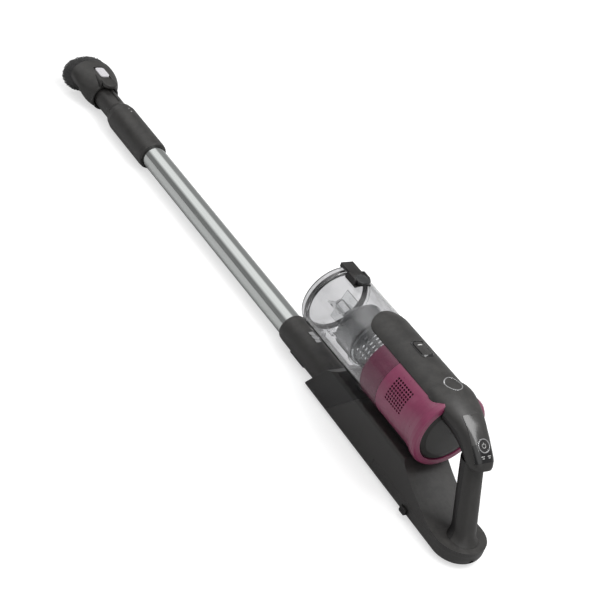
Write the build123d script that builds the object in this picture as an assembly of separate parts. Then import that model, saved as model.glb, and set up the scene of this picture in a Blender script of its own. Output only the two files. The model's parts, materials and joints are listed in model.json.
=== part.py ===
from build123d import *
from math import cos, pi, radians, sin
import os

# Cordless stick vacuum lying belly down: +X towards the brush tool, +Z up, origin under the middle.
# All sizes are in millimetres.

# Wand and its couplings, all on one axis along X.
AXIS_Z = 24.0
TUBE_R = 17.0
TUBE_WALL = 1.5
TUBE_FIT = 0.05
TUBE_SEAT = 21.0
UPPER_REAR_X, UPPER_FRONT_X = 291.0, 465.0
NECK_R, NECK_X = 16.2, 408.0
COUPLING_R = 21.6
LOWER_R = 20.0
LOWER_FRONT_X, LOWER_REAR_X = -103.0, -252.0
PLUG_R = 18.9
PLUG_X = -222.0
AIR_R = 13.8

# Latch buttons under both couplings.
LATCH_SIZE = (32.0, 16.0)
LATCH_PROUD_R = 23.4
LATCH_INNER_R = 18.2
LATCH_TRAVEL = 2.2
UPPER_LATCH_X, LOWER_LATCH_X = 382.0, -141.0

# Contact pins in the top of the upper coupling.
PIN_XS = (376.0, 384.0)
PIN_Y = -1.4
PIN_R = 1.25

# Brush tool.
HOOD_REAR_X = 448.0
COLLAR_R = 20.8
COLLAR_BORE_R = 18.4
RIM_X, RIM_Z = 499.0, 32.0
RIM_TILT = 25.0
RIM_A, RIM_B = 34.5, 21.5
HOOD_WALL = 2.0
RIDGE_HALF, RIDGE_TOP = 13.0, 50.5
BRISTLE_A, BRISTLE_B = 29.6, 16.4
BRISTLE_WIDTH = 4.4
BRISTLE_LENGTH = 17.0

# Dust bin, cyclone and motor, on one axis above the body.
BIN_Z = 111.6
BIN_R = 46.0
BIN_WALL = 2.0
FLAP_FRONT_X, BIN_FRONT_X = -152.0, -164.0
COLLAR_X, MOTOR_FRONT_X = -290.0, -325.0
MOTOR_REAR_X = -412.0
FLARE_R = 50.0
HOUSING_WALL = 2.5
HOUSING_BORE_R = BIN_R - HOUSING_WALL
CAP_R = 40.8
PORT_X, PORT_R = -268.0, 14.6
HINGE_X, HINGE_Z = -158.0, 61.4
HINGE_PIN_R = 1.5
LATCH_PIN_Z = BIN_Z + BIN_R + 4.2

# Motor inside its housing.
IMPELLER_R = 36.0
SHAFT_R = 2.5
CAN_R = 26.0
BEARING_R = 6.0
BEARING_PLAY = 0.03
BLADES = 9

# Exhaust grille, a square grid of round holes on each flank.
GRILLE_X, GRILLE_ANGLE = -355.0, 72.0
GRILLE_COUNT = 8
GRILLE_PITCH = 4.1
GRILLE_HOLE_R = 1.5

# Body hull, with the battery in its floor.
HULL_FRONT_X, HULL_ARC_X = -185.0, -485.5
HULL_FRONT_HALF, HULL_REAR_HALF = 28.5, 34.5
HULL_TOP = 60.0
HULL_EDGE = 14.0
SHELL = 2.2
DECK_Z = 24.0
BATTERY_TOP = 21.6
BATTERY_FRONT_X = -350.3
TRAY_TOP = 17.6
CELL_R, CELL_LENGTH, CELL_PITCH = 9.1, 65.0, 18.6
BATTERY_LATCH_X, BATTERY_LATCH_Z = -426.0, 10.5
BATTERY_LATCH_HALF = (5.6, 4.0)
JACK_R, JACK_BORE_R, JACK_DEPTH = 5.5, 2.8, 9.0

# Handle: a saddle over the bin, a bar behind it and an upright grip.
SADDLE_R = 35.0
SADDLE_Z = 128.5
SADDLE_FRONT_X, SADDLE_REAR_X = -267.0, -387.0
SADDLE_NOSE = 45.0
SADDLE_GAP = 0.6
HANDLE_WALL = 2.0
BUTTON_X, BUTTON_SIZE, BUTTON_TRAVEL = -322.0, (25.0, 14.0), 1.2
BADGE_X, BADGE_R = -386.5, 11.6
POWER_X, POWER_Z, POWER_SLOPE = -464.0, 137.0, 38.0
POWER_R, RING_WIDTH = 6.9, 1.5

OUT = "parts"


def plane_x(x, z=0.0, y=0.0):
    """Plane facing +X whose first axis runs along Y."""
    return Plane(origin=(x, y, z), x_dir=(0, 1, 0), z_dir=(1, 0, 0))


def rod(radius, x0, x1, z=AXIS_Z, y=0.0):
    """Solid cylinder along X from x0 to x1."""
    return extrude(plane_x(min(x0, x1), z, y) * Circle(radius), abs(x1 - x0))


def tube(outer, inner, x0, x1, z=AXIS_Z):
    """Hollow cylinder along X."""
    return rod(outer, x0, x1, z) - rod(inner, min(x0, x1) - 1, max(x0, x1) + 1, z)


def upright(radius, x, y, z0, z1):
    """Solid cylinder along Z."""
    return Pos(x, y, (z0 + z1) / 2) * Cylinder(radius, z1 - z0)


def block(x0, x1, y0, y1, z0, z1):
    """Box between two corners."""
    centre = Pos((x0 + x1) / 2, (y0 + y1) / 2, (z0 + z1) / 2)
    return centre * Box(abs(x1 - x0), abs(y1 - y0), abs(z1 - z0))


def turned(points, z=AXIS_Z):
    """Solid of revolution about an axis along X: points are (x, radius)."""
    outline = make_face(Polyline(*[(x, r) for x, r in points], close=True))
    face = Plane(origin=(0, 0, z), x_dir=(1, 0, 0), z_dir=(0, -1, 0)) * outline
    return revolve(face, Axis((0, 0, z), (1, 0, 0)), 360)


def side_cut(points, half=80.0):
    """Prism across the whole width from an outline of (x, z) points."""
    outline = make_face(Polyline(*points, close=True))
    return extrude(Plane.XZ.offset(-half) * outline, 2 * half)


def oval(plane, a, b):
    """Ellipse face in a plane, or a circle where both half-axes are the same."""
    return plane * (Circle(a) if a == b else Ellipse(a, b))


def squircle(plane, a, b, power=2.0, count=20):
    """Closed smooth outline |u/a|^power + |v/b|^power = 1 as a face."""
    points = []
    for i in range(count):
        t = 2 * pi * i / count
        u = a * abs(cos(t)) ** (2 / power) * (1 if cos(t) > 0 else -1)
        v = b * abs(sin(t)) ** (2 / power) * (1 if sin(t) > 0 else -1)
        points.append((u, v))
    return plane * make_face(Spline(*points, periodic=True))


# ---- wand ----------------------------------------------------------------------------------


def latch_pocket(x):
    """Recess under a coupling for its latch button, open below."""
    half_x, half_y = LATCH_SIZE[0] / 2 + 0.4, LATCH_SIZE[1] / 2 + 0.4
    roof = AXIS_Z - LATCH_INNER_R + LATCH_TRAVEL + 0.5
    return block(x - half_x, x + half_x, -half_y, half_y, -5, roof)


def latch_button(x):
    """Button under a coupling, proud of it and pressed up into its pocket."""
    half_x, half_y = LATCH_SIZE[0] / 2, LATCH_SIZE[1] / 2
    body = block(x - half_x, x + half_x, -half_y, half_y, -5, AXIS_Z - LATCH_INNER_R)
    body = body & rod(LATCH_PROUD_R, x - 40, x + 40)
    spring_seat = upright(3.4, x, 0, 3.2, 10)
    return body - spring_seat


def latch_spring(x):
    """Coil spring between a latch button and the roof of its pocket."""
    roof = AXIS_Z - LATCH_INNER_R + LATCH_TRAVEL + 0.5
    coil = Helix(pitch=1.3, height=roof - 4.4, radius=2.4)
    wire = sweep(Plane(coil @ 0, z_dir=coil % 0) * Circle(0.3), coil)
    return Pos(x, 0, 3.8) * wire


def upper_coupling():
    """Coupling at the tool end: a grip section, then a narrow neck for the tool."""
    body = turned(
        [
            (UPPER_REAR_X, 0),
            (UPPER_REAR_X, 20.2),
            (UPPER_REAR_X + 2, 21.2),
            (UPPER_REAR_X + 8, COUPLING_R),
            (UPPER_LATCH_X + 8, COUPLING_R),
            (UPPER_LATCH_X + 18, 19.6),
            (NECK_X, NECK_R),
            (UPPER_FRONT_X - 2, NECK_R),
            (UPPER_FRONT_X, NECK_R - 1.2),
            (UPPER_FRONT_X, 0),
        ]
    )
    seat = rod(TUBE_R + TUBE_FIT, UPPER_REAR_X - 1, UPPER_REAR_X + TUBE_SEAT)
    bore = rod(AIR_R, UPPER_REAR_X, UPPER_FRONT_X + 1)
    key_groove = block(NECK_X + 4, UPPER_FRONT_X - 18, -2, 2, AXIS_Z + NECK_R - 1.2, 60)
    pin_holes = [upright(PIN_R + 0.05, x, PIN_Y, 30, 60) for x in PIN_XS]
    return body - seat - bore - key_groove - pin_holes - latch_pocket(UPPER_LATCH_X)


def contact_pins():
    """Two small contacts let into the top of the upper coupling."""
    pins = [upright(PIN_R, x, PIN_Y, 39, AXIS_Z + 21.7) for x in PIN_XS]
    return Compound(children=pins)


def wand_tube():
    """Straight aluminium tube, seated in both couplings."""
    return tube(TUBE_R, TUBE_R - TUBE_WALL, LOWER_FRONT_X - TUBE_SEAT, UPPER_REAR_X + TUBE_SEAT)


def lower_coupling():
    """Coupling at the body end, with the plug that enters the body's mouth."""
    body = turned(
        [
            (LOWER_FRONT_X, 0),
            (LOWER_FRONT_X, 18.8),
            (LOWER_FRONT_X - 2, 19.6),
            (LOWER_FRONT_X - 8, LOWER_R),
            (PLUG_X, LOWER_R),
            (PLUG_X, PLUG_R),
            (LOWER_REAR_X + 12, PLUG_R),
            (LOWER_REAR_X + 12, PLUG_R - 1.3),
            (LOWER_REAR_X + 8, PLUG_R - 1.3),
            (LOWER_REAR_X + 8, PLUG_R),
            (LOWER_REAR_X + 2, PLUG_R),
            (LOWER_REAR_X, PLUG_R - 1.5),
            (LOWER_REAR_X, 0),
        ]
    )
    seat = rod(TUBE_R + TUBE_FIT, LOWER_FRONT_X + 1, LOWER_FRONT_X - TUBE_SEAT)
    bore = rod(AIR_R, LOWER_FRONT_X, LOWER_REAR_X - 1)
    strip_seat = block(-160, -138, -4, 4, AXIS_Z + LOWER_R - 1.2, 60)
    pocket = latch_pocket(LOWER_LATCH_X)
    return body - seat - bore - strip_seat - pocket


def contact_strip():
    """Sprung contact plate on top of the lower coupling, with two raised ribs."""
    plate = block(-159.5, -138.5, -3.6, 3.6, AXIS_Z + LOWER_R - 1.2, AXIS_Z + LOWER_R + 0.2)
    for x in (-153.0, -145.0):
        plate = plate + block(x - 1.5, x + 1.5, -3.6, 3.6, AXIS_Z + LOWER_R, AXIS_Z + LOWER_R + 1.2)
    return plate


def coupling_seal():
    """Rubber ring in the groove of the plug."""
    return tube(PLUG_R - 0.1, PLUG_R - 1.3, LOWER_REAR_X + 8.1, LOWER_REAR_X + 11.9)


def latch_springs():
    """Both coil springs of the wand's latch buttons."""
    return Compound(children=[latch_spring(UPPER_LATCH_X), latch_spring(LOWER_LATCH_X)])


# ---- brush tool ----------------------------------------------------------------------------


def rim_plane(x):
    """Slanted plane of the brush face through the point (x, 0, RIM_Z)."""
    tilt = radians(RIM_TILT)
    return Plane(origin=(x, 0, RIM_Z), x_dir=(0, 1, 0), z_dir=(cos(tilt), 0, -sin(tilt)))


def hood_loft(inset, rear_r):
    """Smooth hood from the round collar to the slanted oval rim."""
    sections = [
        oval(plane_x(HOOD_REAR_X + 5, AXIS_Z), rear_r, rear_r),
        oval(plane_x(HOOD_REAR_X + 19, AXIS_Z + 3), 29.5 - inset, 22.5 - inset),
        oval(rim_plane(RIM_X - 16), RIM_A - 0.6 - inset, RIM_B - inset),
        oval(rim_plane(RIM_X), RIM_A - inset, RIM_B - inset),
    ]
    return loft(sections)


def brush_hood():
    """Hollow hood of the brush, with its collar and the ridge of the slide button."""
    ridge = block(HOOD_REAR_X, RIM_X - 4, -RIDGE_HALF, RIDGE_HALF, AXIS_Z + 10, RIDGE_TOP)
    ridge = fillet(ridge.edges().filter_by(Axis.X).group_by(Axis.Z)[-1], 5)
    body = hood_loft(0, COLLAR_R) + rod(COLLAR_R, HOOD_REAR_X, HOOD_REAR_X + 6) + ridge
    cavity = hood_loft(HOOD_WALL, NECK_R + 0.1) & block(466, 520, -60, 60, -20, 80)
    tunnel = block(HOOD_REAR_X + 9, 494, -7, 7, AXIS_Z + 15, RIDGE_TOP - 2)
    slot = block(462, 488, -4.4, 4.4, AXIS_Z + 15, 60)
    track = block(457, 489, -8, 8, RIDGE_TOP - 1, 60)
    body = body - cavity - rod(COLLAR_BORE_R, HOOD_REAR_X - 1, HOOD_REAR_X + 7)
    body = body - rod(NECK_R + 0.1, HOOD_REAR_X, 480) - slot - track
    body = body - (tunnel - rod(NECK_R + 2.4, 440, 467))
    tab_seat = block(HOOD_REAR_X - 1, HOOD_REAR_X + 7, -11.4, 11.4, 44.2, 60)
    return body - tab_seat


def bristle_carrier():
    """Oval carrier that slides inside the hood, with the arm up to its button."""
    start = rim_plane(RIM_X - 6)
    ring = extrude(oval(start, BRISTLE_A, BRISTLE_B), 3.5)
    ring = ring - extrude(oval(start, BRISTLE_A - BRISTLE_WIDTH, BRISTLE_B - BRISTLE_WIDTH), 3.5)
    arm = block(468, 501, -3.8, 3.8, 45, 47)
    return ring + arm + block(468, 484, -3.8, 3.8, 45, RIDGE_TOP - 0.8)


def bristle_ring():
    """Dense oval fringe of bristles."""
    start = rim_plane(RIM_X - 2)
    shell = extrude(oval(start, BRISTLE_A, BRISTLE_B), BRISTLE_LENGTH - 3)
    inner = oval(start, BRISTLE_A - BRISTLE_WIDTH, BRISTLE_B - BRISTLE_WIDTH)
    return shell - extrude(inner, BRISTLE_LENGTH)


def bristle_slide_button():
    """Thumb slide on the ridge that runs the bristles out and back."""
    pad = block(462, 486, -7.2, 7.2, RIDGE_TOP - 0.8, RIDGE_TOP + 1.6)
    return fillet(pad.edges().group_by(Axis.Z)[-1], 1.2)


def tool_release_tab():
    """Sprung tab behind the ridge that frees the tool from the neck."""
    tab = block(HOOD_REAR_X - 11, HOOD_REAR_X + 6.6, -11, 11, 46, RIDGE_TOP)
    tab = fillet(tab.edges().filter_by(Axis.Z).group_by(Axis.X)[0], 9)
    return fillet(tab.edges().group_by(Axis.Z)[-1].sort_by(Axis.X)[:-1], 1.5)


# ---- body hull and battery -----------------------------------------------------------------


def hull(inset=0.0, floor=0.0, top=HULL_TOP):
    """Body envelope: a plan that widens to a round rear end, with rounded bottom edges."""
    slope = (HULL_REAR_HALF - HULL_FRONT_HALF) / (HULL_FRONT_X - HULL_ARC_X)
    front, rear = HULL_FRONT_HALF - inset, HULL_REAR_HALF - inset
    left = Line((HULL_FRONT_X, front), (HULL_ARC_X, rear))
    end = TangentArc((HULL_ARC_X, rear), (HULL_ARC_X, -rear), tangent=(-1, slope))
    right = Line((HULL_ARC_X, -rear), (HULL_FRONT_X, -front))
    close = Line((HULL_FRONT_X, -front), (HULL_FRONT_X, front))
    plan = make_face(Wire([left, end, right, close]))
    body = extrude(Pos(0, 0, floor) * plan, top - floor)
    bottom = body.edges().group_by(Axis.Z)[0].sort_by(Axis.X)[:-1]
    body = fillet(bottom, HULL_EDGE - inset)
    upper = body.edges().group_by(Axis.Z)[-1].sort_by(Axis.X)[:-1]
    return fillet(upper, 5 - inset)


# Slanted mouth of the sleeve, and the slanted seam between sleeve and housing.
MOUTH = [(HULL_FRONT_X + 0.5, -1), (HULL_FRONT_X - 34, 51), (-236, HULL_TOP + 1)]
SEAM_LOW_X, SEAM_TOP_X = -235.0, -286.0
SEAM_GAP = 0.1
SLEEVE_COLLAR_R = LOWER_R + 2.4


def front_sleeve():
    """Dark sleeve round the wand's plug, with slanted mouth and seam."""
    slant = (SEAM_TOP_X - SEAM_LOW_X) / HULL_TOP
    seam = [(SEAM_TOP_X + slant + SEAM_GAP, HULL_TOP + 1), (SEAM_LOW_X - slant + SEAM_GAP, -1)]
    envelope = hull() & side_cut(MOUTH + seam)
    hollow = hull(SHELL, SHELL, HULL_TOP - SHELL) & side_cut(
        [(-196, 0), (-226, 48), (-240, 61), (-300, 61), (-300, 0)]
    )
    collar = rod(SLEEVE_COLLAR_R, -180, -256) & side_cut(MOUTH + [(-300, 61), (-300, -1)])
    body = envelope - hollow + (collar & hull())
    body = body - rod(LOWER_R + 0.4, -150, PLUG_X - 0.6) - rod(PLUG_R + 0.1, -150, -253)
    duct_end = rod(18.9, -253, -320)
    return body - duct_end - upright(PORT_R + 0.9, PORT_X, 0, 30, 70)


def housing_outline(inset=0.0):
    """Side outline of the main housing, with the concave ramp down to the rear deck."""
    bay_x, bay_z = BATTERY_FRONT_X + 0.3 + inset, BATTERY_TOP + 0.2 + inset
    top_z, floor_z = HULL_TOP - inset, inset
    foot_x, foot_z = (-475, DECK_Z) if inset == 0 else (-463, bay_z)
    slant = (SEAM_TOP_X - SEAM_LOW_X) / HULL_TOP
    seam_top = (SEAM_TOP_X - slant * inset - SEAM_GAP, top_z)
    seam_low = (SEAM_LOW_X + slant * inset - SEAM_GAP, floor_z)
    top = Line(seam_top, (-392 + inset / 2, top_z))
    ramp = ThreePointArc(top @ 1, (-431 + inset, 38.5 - inset / 2), (foot_x, foot_z))
    corners = [(foot_x, foot_z), (bay_x, bay_z), (bay_x, floor_z), seam_low, seam_top]
    if inset == 0:
        corners[1:1] = [(-530, DECK_Z), (-530, bay_z)]
    return make_face(Wire([top, ramp, *Polyline(*corners).edges()]))


def screw_places():
    """Plan positions of the four screws in the housing's floor."""
    return [(x, y) for x in (-300.0, -338.0) for y in (-13.0, 13.0)]


def main_housing():
    """Side and deck shell of the body, with the battery bay in its floor."""
    outline = housing_outline()
    envelope = hull() & extrude(Plane.XZ.offset(-80) * outline, 160)
    inner_outline = housing_outline(SHELL)
    hollow = hull(SHELL, SHELL, HULL_TOP - SHELL) & extrude(
        Plane.XZ.offset(-80) * inner_outline, 160
    )
    body = envelope - hollow
    passage = block(-236, -300, -22, 22, 4, 52)
    socket = block(BATTERY_FRONT_X - 2, BATTERY_FRONT_X + 5, -11, 11, 6, 16)
    body = body - passage - socket - upright(PORT_R + 0.9, PORT_X, 0, 30, 70)
    body = body - rod(SLEEVE_COLLAR_R + 0.1, -220, -256.1)
    for x, y in screw_places():
        body = body - upright(3.2, x, y, -1, 1.2) - upright(1.4, x, y, 0, 5)
    return body


def housing_screws():
    """Four recessed screws that close the body's floor."""
    screws = []
    for x, y in screw_places():
        head = upright(3.0, x, y, 0.3, 1.2) - block(x - 2, x + 2, y - 0.4, y + 0.4, 0, 0.8)
        screws.append(head + upright(1.35, x, y, 1.2, 8))
    return Compound(children=screws)


def elbow(radius, pipe_r, top):
    """Solid elbow: a round-ended pipe along X with a pipe rising from it."""
    run = rod(radius, -253.4, PORT_X - radius)
    run = fillet(run.edges().group_by(Axis.X)[0], radius - 3)
    return run + upright(pipe_r, PORT_X, 0, AXIS_Z, top)


def inlet_duct():
    """Elbow that turns the dirty air up into the bin."""
    inner = elbow(16.7, PORT_R - 1.4, HULL_TOP + 1) + rod(16.7, -250, -256)
    return elbow(18.5, PORT_R + 0.6, HULL_TOP - 0.2) - inner


def duct_seal():
    """Rubber ring between the elbow and the bin's port."""
    ring = upright(PORT_R + 0.6, PORT_X, 0, HULL_TOP - 0.2, HULL_TOP + 1.7)
    return ring - upright(PORT_R - 1.4, PORT_X, 0, HULL_TOP - 1, HULL_TOP + 2)


def circuit_board():
    """Control board with its capacitor, chips and connector."""
    board = block(-294, -344, -21, 21, 40, 41.6)
    parts = [
        block(-300, -312, -14, -4, 41.6, 49),
        block(-318, -334, -16, -2, 41.6, 44),
        block(-300, -320, 4, 16, 41.6, 43.5),
        upright(5, -334, 11, 41.6, 53),
    ]
    for part in parts:
        board = board + part
    return board


def battery_void(floor, top):
    """Room inside the battery case."""
    return hull(1.6, 1.6, 40) & block(BATTERY_FRONT_X - 1.6, -540, -60, 60, floor, top)


def latch_recess(side):
    """Pocket in the battery's flank for one of its latch buttons."""
    x, z = BATTERY_LATCH_X, BATTERY_LATCH_Z
    half_x, half_z = BATTERY_LATCH_HALF[0] + 0.4, BATTERY_LATCH_HALF[1] + 0.4
    return block(x - half_x, x + half_x, side * 29.4, side * 40, z - half_z, z + half_z)


def battery_tray():
    """Lower shell of the battery, which is also the rear of the belly."""
    body = hull() & block(BATTERY_FRONT_X, -540, -60, 60, 0, TRAY_TOP)
    body = body - battery_void(1.6, TRAY_TOP + 1)
    for side in (-1, 1):
        wall = latch_recess(side) & block(-460, -400, -60, 60, 0, TRAY_TOP)
        backing = block(-433.4, -418.6, side * 28.1, side * 32, 4, TRAY_TOP)
        body = body + (backing & hull()) - wall
    socket = block(BATTERY_FRONT_X - 3, BATTERY_FRONT_X + 1, -10.2, 10.2, 6.8, 15.2)
    return body - socket - rod(JACK_R + 0.05, -540, -505, 10)


def battery_lid():
    """Upper shell of the battery, under the deck."""
    body = hull() & block(BATTERY_FRONT_X, -540, -60, 60, TRAY_TOP, BATTERY_TOP)
    return body - battery_void(TRAY_TOP - 1, BATTERY_TOP - 1.4)


def battery_cells():
    """Six round cells, three abreast in two rows."""
    cells = []
    for row in range(2):
        x = -355.0 - row * (CELL_LENGTH + 1)
        for y in (-CELL_PITCH, 0, CELL_PITCH):
            cells.append(rod(CELL_R, x, x - CELL_LENGTH, 10.9, y))
    return Compound(children=cells)


def battery_contacts():
    """Contact block at the front of the battery, with four blades."""
    body = block(BATTERY_FRONT_X - 4, BATTERY_FRONT_X, -10, 10, 7, 15)
    for y in (-7.5, -2.5, 2.5, 7.5):
        body = body + block(BATTERY_FRONT_X, BATTERY_FRONT_X + 4, y - 0.6, y + 0.6, 8, 14)
    return body


def charge_jack():
    """Round charging socket in the rear end of the battery."""
    rear = rod(JACK_R, -540, -507, 10) & hull(0.05)
    return rear - rod(JACK_BORE_R, -540, -519.9 + JACK_DEPTH, 10)


def battery_latch(side):
    """Button on the battery's flank, ribbed for the thumb."""
    x, z = BATTERY_LATCH_X, BATTERY_LATCH_Z
    half_x, half_z = BATTERY_LATCH_HALF
    body = block(x - half_x, x + half_x, side * 32.4, side * 36.4, z - half_z, z + half_z)
    body = fillet(body.edges().filter_by(Axis.Y), 2)
    for rib in (x - 2.4, x, x + 2.4):
        body = body - block(rib - 0.5, rib + 0.5, side * 36.0, side * 37, z - 2.5, z + 2.5)
    return body


# ---- bin and cyclone -----------------------------------------------------------------------


def bin_cup():
    """Clear barrel of the bin, with its inlet port and the hinge lugs of the flap."""
    barrel = rod(BIN_R, BIN_FRONT_X, COLLAR_X, BIN_Z) + rod(BIN_R + 0.8, -164, -167, BIN_Z)
    port = upright(PORT_R, PORT_X, 0, HULL_TOP + 1.9, BIN_Z - 38)
    lugs = block(-164.2, -170, -12, -5.3, HINGE_Z - 2.6, BIN_Z - 42)
    lugs = lugs + block(-164.2, -170, 12, 5.3, HINGE_Z - 2.6, BIN_Z - 42)
    for y in (-8.65, 8.65):
        boss = Pos(HINGE_X, y, HINGE_Z) * Rot(90, 0, 0) * Cylinder(2.9, 6.7)
        web = block(HINGE_X, -166, y - 3.35, y + 3.35, HINGE_Z - 2.9, HINGE_Z + 0.4)
        lugs = lugs + boss + web
    body = barrel + port + lugs - rod(BIN_R - BIN_WALL, -150, -300, BIN_Z)
    body = body - upright(PORT_R - BIN_WALL, PORT_X, 0, 50, BIN_Z)
    return body - Pos(HINGE_X, 0, HINGE_Z) * Rot(90, 0, 0) * Cylinder(HINGE_PIN_R, 40)


def flap_hinge_pin():
    """Steel pin of the flap's hinge."""
    return Pos(HINGE_X, 0, HINGE_Z) * Rot(90, 0, 0) * Cylinder(HINGE_PIN_R, 24)


def bin_flap():
    """Clear lid on the bin's front end, with its hinge knuckle and catch."""
    lid = rod(BIN_R, FLAP_FRONT_X, BIN_FRONT_X + 0.3, BIN_Z)
    lid = fillet(lid.edges().group_by(Axis.X)[-1], 2.5)
    lid = lid - rod(BIN_R - 1.8, FLAP_FRONT_X - 2, BIN_FRONT_X - 1, BIN_Z)
    knuckle = Pos(HINGE_X, 0, HINGE_Z) * Rot(90, 0, 0) * Cylinder(2.9, 10)
    web = block(-155, -161, -5, 5, HINGE_Z, BIN_Z - BIN_R + 1.6)
    catch = block(-155.5, -161, -6, 6, BIN_Z + BIN_R - 1.2, BIN_Z + BIN_R + 2.6)
    bore = Pos(HINGE_X, 0, HINGE_Z) * Rot(90, 0, 0) * Cylinder(HINGE_PIN_R + 0.05, 12)
    return lid + knuckle + web + catch - bore


def flap_seal():
    """Black rubber ring inside the lid's lip."""
    return tube(BIN_R - 1.85, BIN_R - 6.2, -158.5, BIN_FRONT_X + 0.3, BIN_Z)


def latch_mount():
    """Raised block on top of the bin that carries the flap's latch."""
    foot = block(-171, -194, -12, 12, BIN_Z + 40, BIN_Z + BIN_R + 0.8)
    cheeks = block(-171, -191, -12, -9.4, BIN_Z + 40, BIN_Z + BIN_R + 7.4)
    cheeks = cheeks + block(-171, -191, 12, 9.4, BIN_Z + 40, BIN_Z + BIN_R + 7.4)
    cheeks = fillet(cheeks.edges().filter_by(Axis.Y).group_by(Axis.Z)[-1], 5)
    pin = Pos(-181, 0, LATCH_PIN_Z) * Rot(90, 0, 0) * Cylinder(1.2, 22)
    return foot + cheeks + pin - rod(BIN_R + 0.05, -160, -200, BIN_Z)


def flap_latch():
    """Rocking latch: a hook over the lid's catch in front, a thumb pad behind."""
    low, high = LATCH_PIN_Z - 1.1, LATCH_PIN_Z + 2.3
    lever = block(-152.6, -197, -9, 9, low, high)
    lever = fillet(lever.edges().filter_by(Axis.Z).group_by(Axis.X)[0], 5)
    hook = block(-152.6, -155.1, -9, 9, BIN_Z + BIN_R + 0.8, high)
    barrel = Pos(-181, 0, LATCH_PIN_Z) * Rot(90, 0, 0) * Cylinder(2.9, 18)
    bore = Pos(-181, 0, LATCH_PIN_Z) * Rot(90, 0, 0) * Cylinder(1.25, 20)
    return lever + hook + barrel - bore


def cyclone_vane():
    """Cross of four vanes on a hub, facing the flap."""
    hub = turned([(-166, 0), (-166, 5), (-170, 7), (-192, 7), (-192, 0)], BIN_Z)
    for i in range(4):
        fin = block(-167, -192, -0.8, 0.8, 5, 20)
        hub = hub + Pos(0, 0, BIN_Z) * Rot(45 * (2 * i + 1) - 30, 0, 0) * fin
    return hub


def cyclone_cone():
    """Flaring smoke-grey cone behind the vanes."""
    cone = turned([(-192, 0), (-192, 10), (-214, 33), (-217, 33), (-217, 0)], BIN_Z)
    return cone - turned([(-194, 0), (-194, 8.8), (-216.5, 31.4), (-218, 31.4), (-218, 0)], BIN_Z)


def debris_cup():
    """Pale cup that carries the cone."""
    cup = tube(33, 31.4, -217, -248, BIN_Z) + rod(35.5, -246, -249, BIN_Z)
    return cup - rod(27, -240, -252, BIN_Z)


def shroud_screen():
    """Perforated cylinder that the air leaves the bin through."""
    shell = tube(29.5, 28, -249, -289.6, BIN_Z)
    slots = []
    for row in range(6):
        for turn in range(20):
            slot = block(-253 - row * 5.8, -256 - row * 5.8, -2.2, 2.2, 26, 32)
            slots.append(Pos(0, 0, BIN_Z) * Rot(18 * turn, 0, 0) * slot)
    return shell - slots


def bin_collar():
    """Translucent collar between the bin and the motor, with the cyclone's bulkhead."""
    body = tube(BIN_R, BIN_R - BIN_WALL, COLLAR_X, MOTOR_FRONT_X + 0.3, BIN_Z)
    bulkhead = tube(BIN_R - 1, 24, COLLAR_X, COLLAR_X - 2.4, BIN_Z)
    spigot = tube(43, 41, MOTOR_FRONT_X + 6, MOTOR_FRONT_X - 6, BIN_Z)
    step = tube(BIN_R - 1, 41, MOTOR_FRONT_X + 6, MOTOR_FRONT_X + 3, BIN_Z)
    return body + bulkhead + spigot + step


def prefilter():
    """Pleated filter ring behind the cyclone, with a star-shaped inner wall."""
    pleats = 28
    points = []
    for i in range(2 * pleats):
        angle, radius = pi * i / pleats, 38.0 if i % 2 == 0 else 31.0
        points.append((radius * cos(angle), radius * sin(angle)))
    star = extrude(plane_x(-320, BIN_Z) * make_face(Polyline(*points, close=True)), 24)
    return star - rod(20, -330, -290, BIN_Z)


# ---- motor ---------------------------------------------------------------------------------


def housing_profile(grow=0.0):
    """Outer profile of the motor housing, flaring to its rear lip."""
    return [
        (MOTOR_FRONT_X, BIN_R + grow),
        (-380, BIN_R + grow),
        (-388, BIN_R + 0.6 + grow),
        (-396, BIN_R + 1.9 + grow),
        (-403, FLARE_R - 0.3 + grow),
        (-408, FLARE_R + grow),
        (-411, FLARE_R - 1.2 + grow),
        (MOTOR_REAR_X, FLARE_R - 3.2 + grow),
    ]


def grille_holes(side):
    """Grid of radial holes through one flank of the motor housing."""
    holes = []
    step = GRILLE_PITCH / BIN_R * 180 / pi
    for i in range(GRILLE_COUNT):
        for j in range(GRILLE_COUNT):
            x = GRILLE_X + (i - (GRILLE_COUNT - 1) / 2) * GRILLE_PITCH
            angle = GRILLE_ANGLE + (j - (GRILLE_COUNT - 1) / 2) * step
            hole = upright(GRILLE_HOLE_R, x, 0, BIN_R - 6, BIN_R + 3)
            holes.append(Pos(0, 0, BIN_Z) * Rot(-side * angle, 0, 0) * hole)
    return holes


def motor_housing(handle):
    """Coloured motor housing with its flared lip, notched for the arm, and two grilles."""
    lip = [(MOTOR_REAR_X, CAP_R + 0.3), (-407, CAP_R + 0.3), (-404, HOUSING_BORE_R)]
    bore = [(MOTOR_FRONT_X, HOUSING_BORE_R)]
    body = turned(housing_profile() + lip + bore, BIN_Z)
    return body - grille_holes(1) - grille_holes(-1) - handle


def motor_cradle():
    """Saddle that ties the motor housing to the body."""
    body = block(-332, -392, -17, 17, HULL_TOP, BIN_Z - 38)
    return body - turned(housing_profile(0.05) + [(MOTOR_REAR_X, 0), (MOTOR_FRONT_X, 0)], BIN_Z)


def rear_cap():
    """Domed cap that closes the motor housing, held behind its lip by a flange."""
    flange = [(-401, 0), (-401, CAP_R + 2.4), (-403.5, CAP_R + 2.4), (-403.5, CAP_R)]
    dome = flange + [(-409, CAP_R), (-411, CAP_R - 2), (-412, CAP_R - 8), (-412.5, 0)]
    hollow = [(-400, 0), (-400, CAP_R - 2), (-408, CAP_R - 2), (-410, CAP_R - 6), (-410.4, 0)]
    return turned(dome, BIN_Z) - turned(hollow, BIN_Z)


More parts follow.
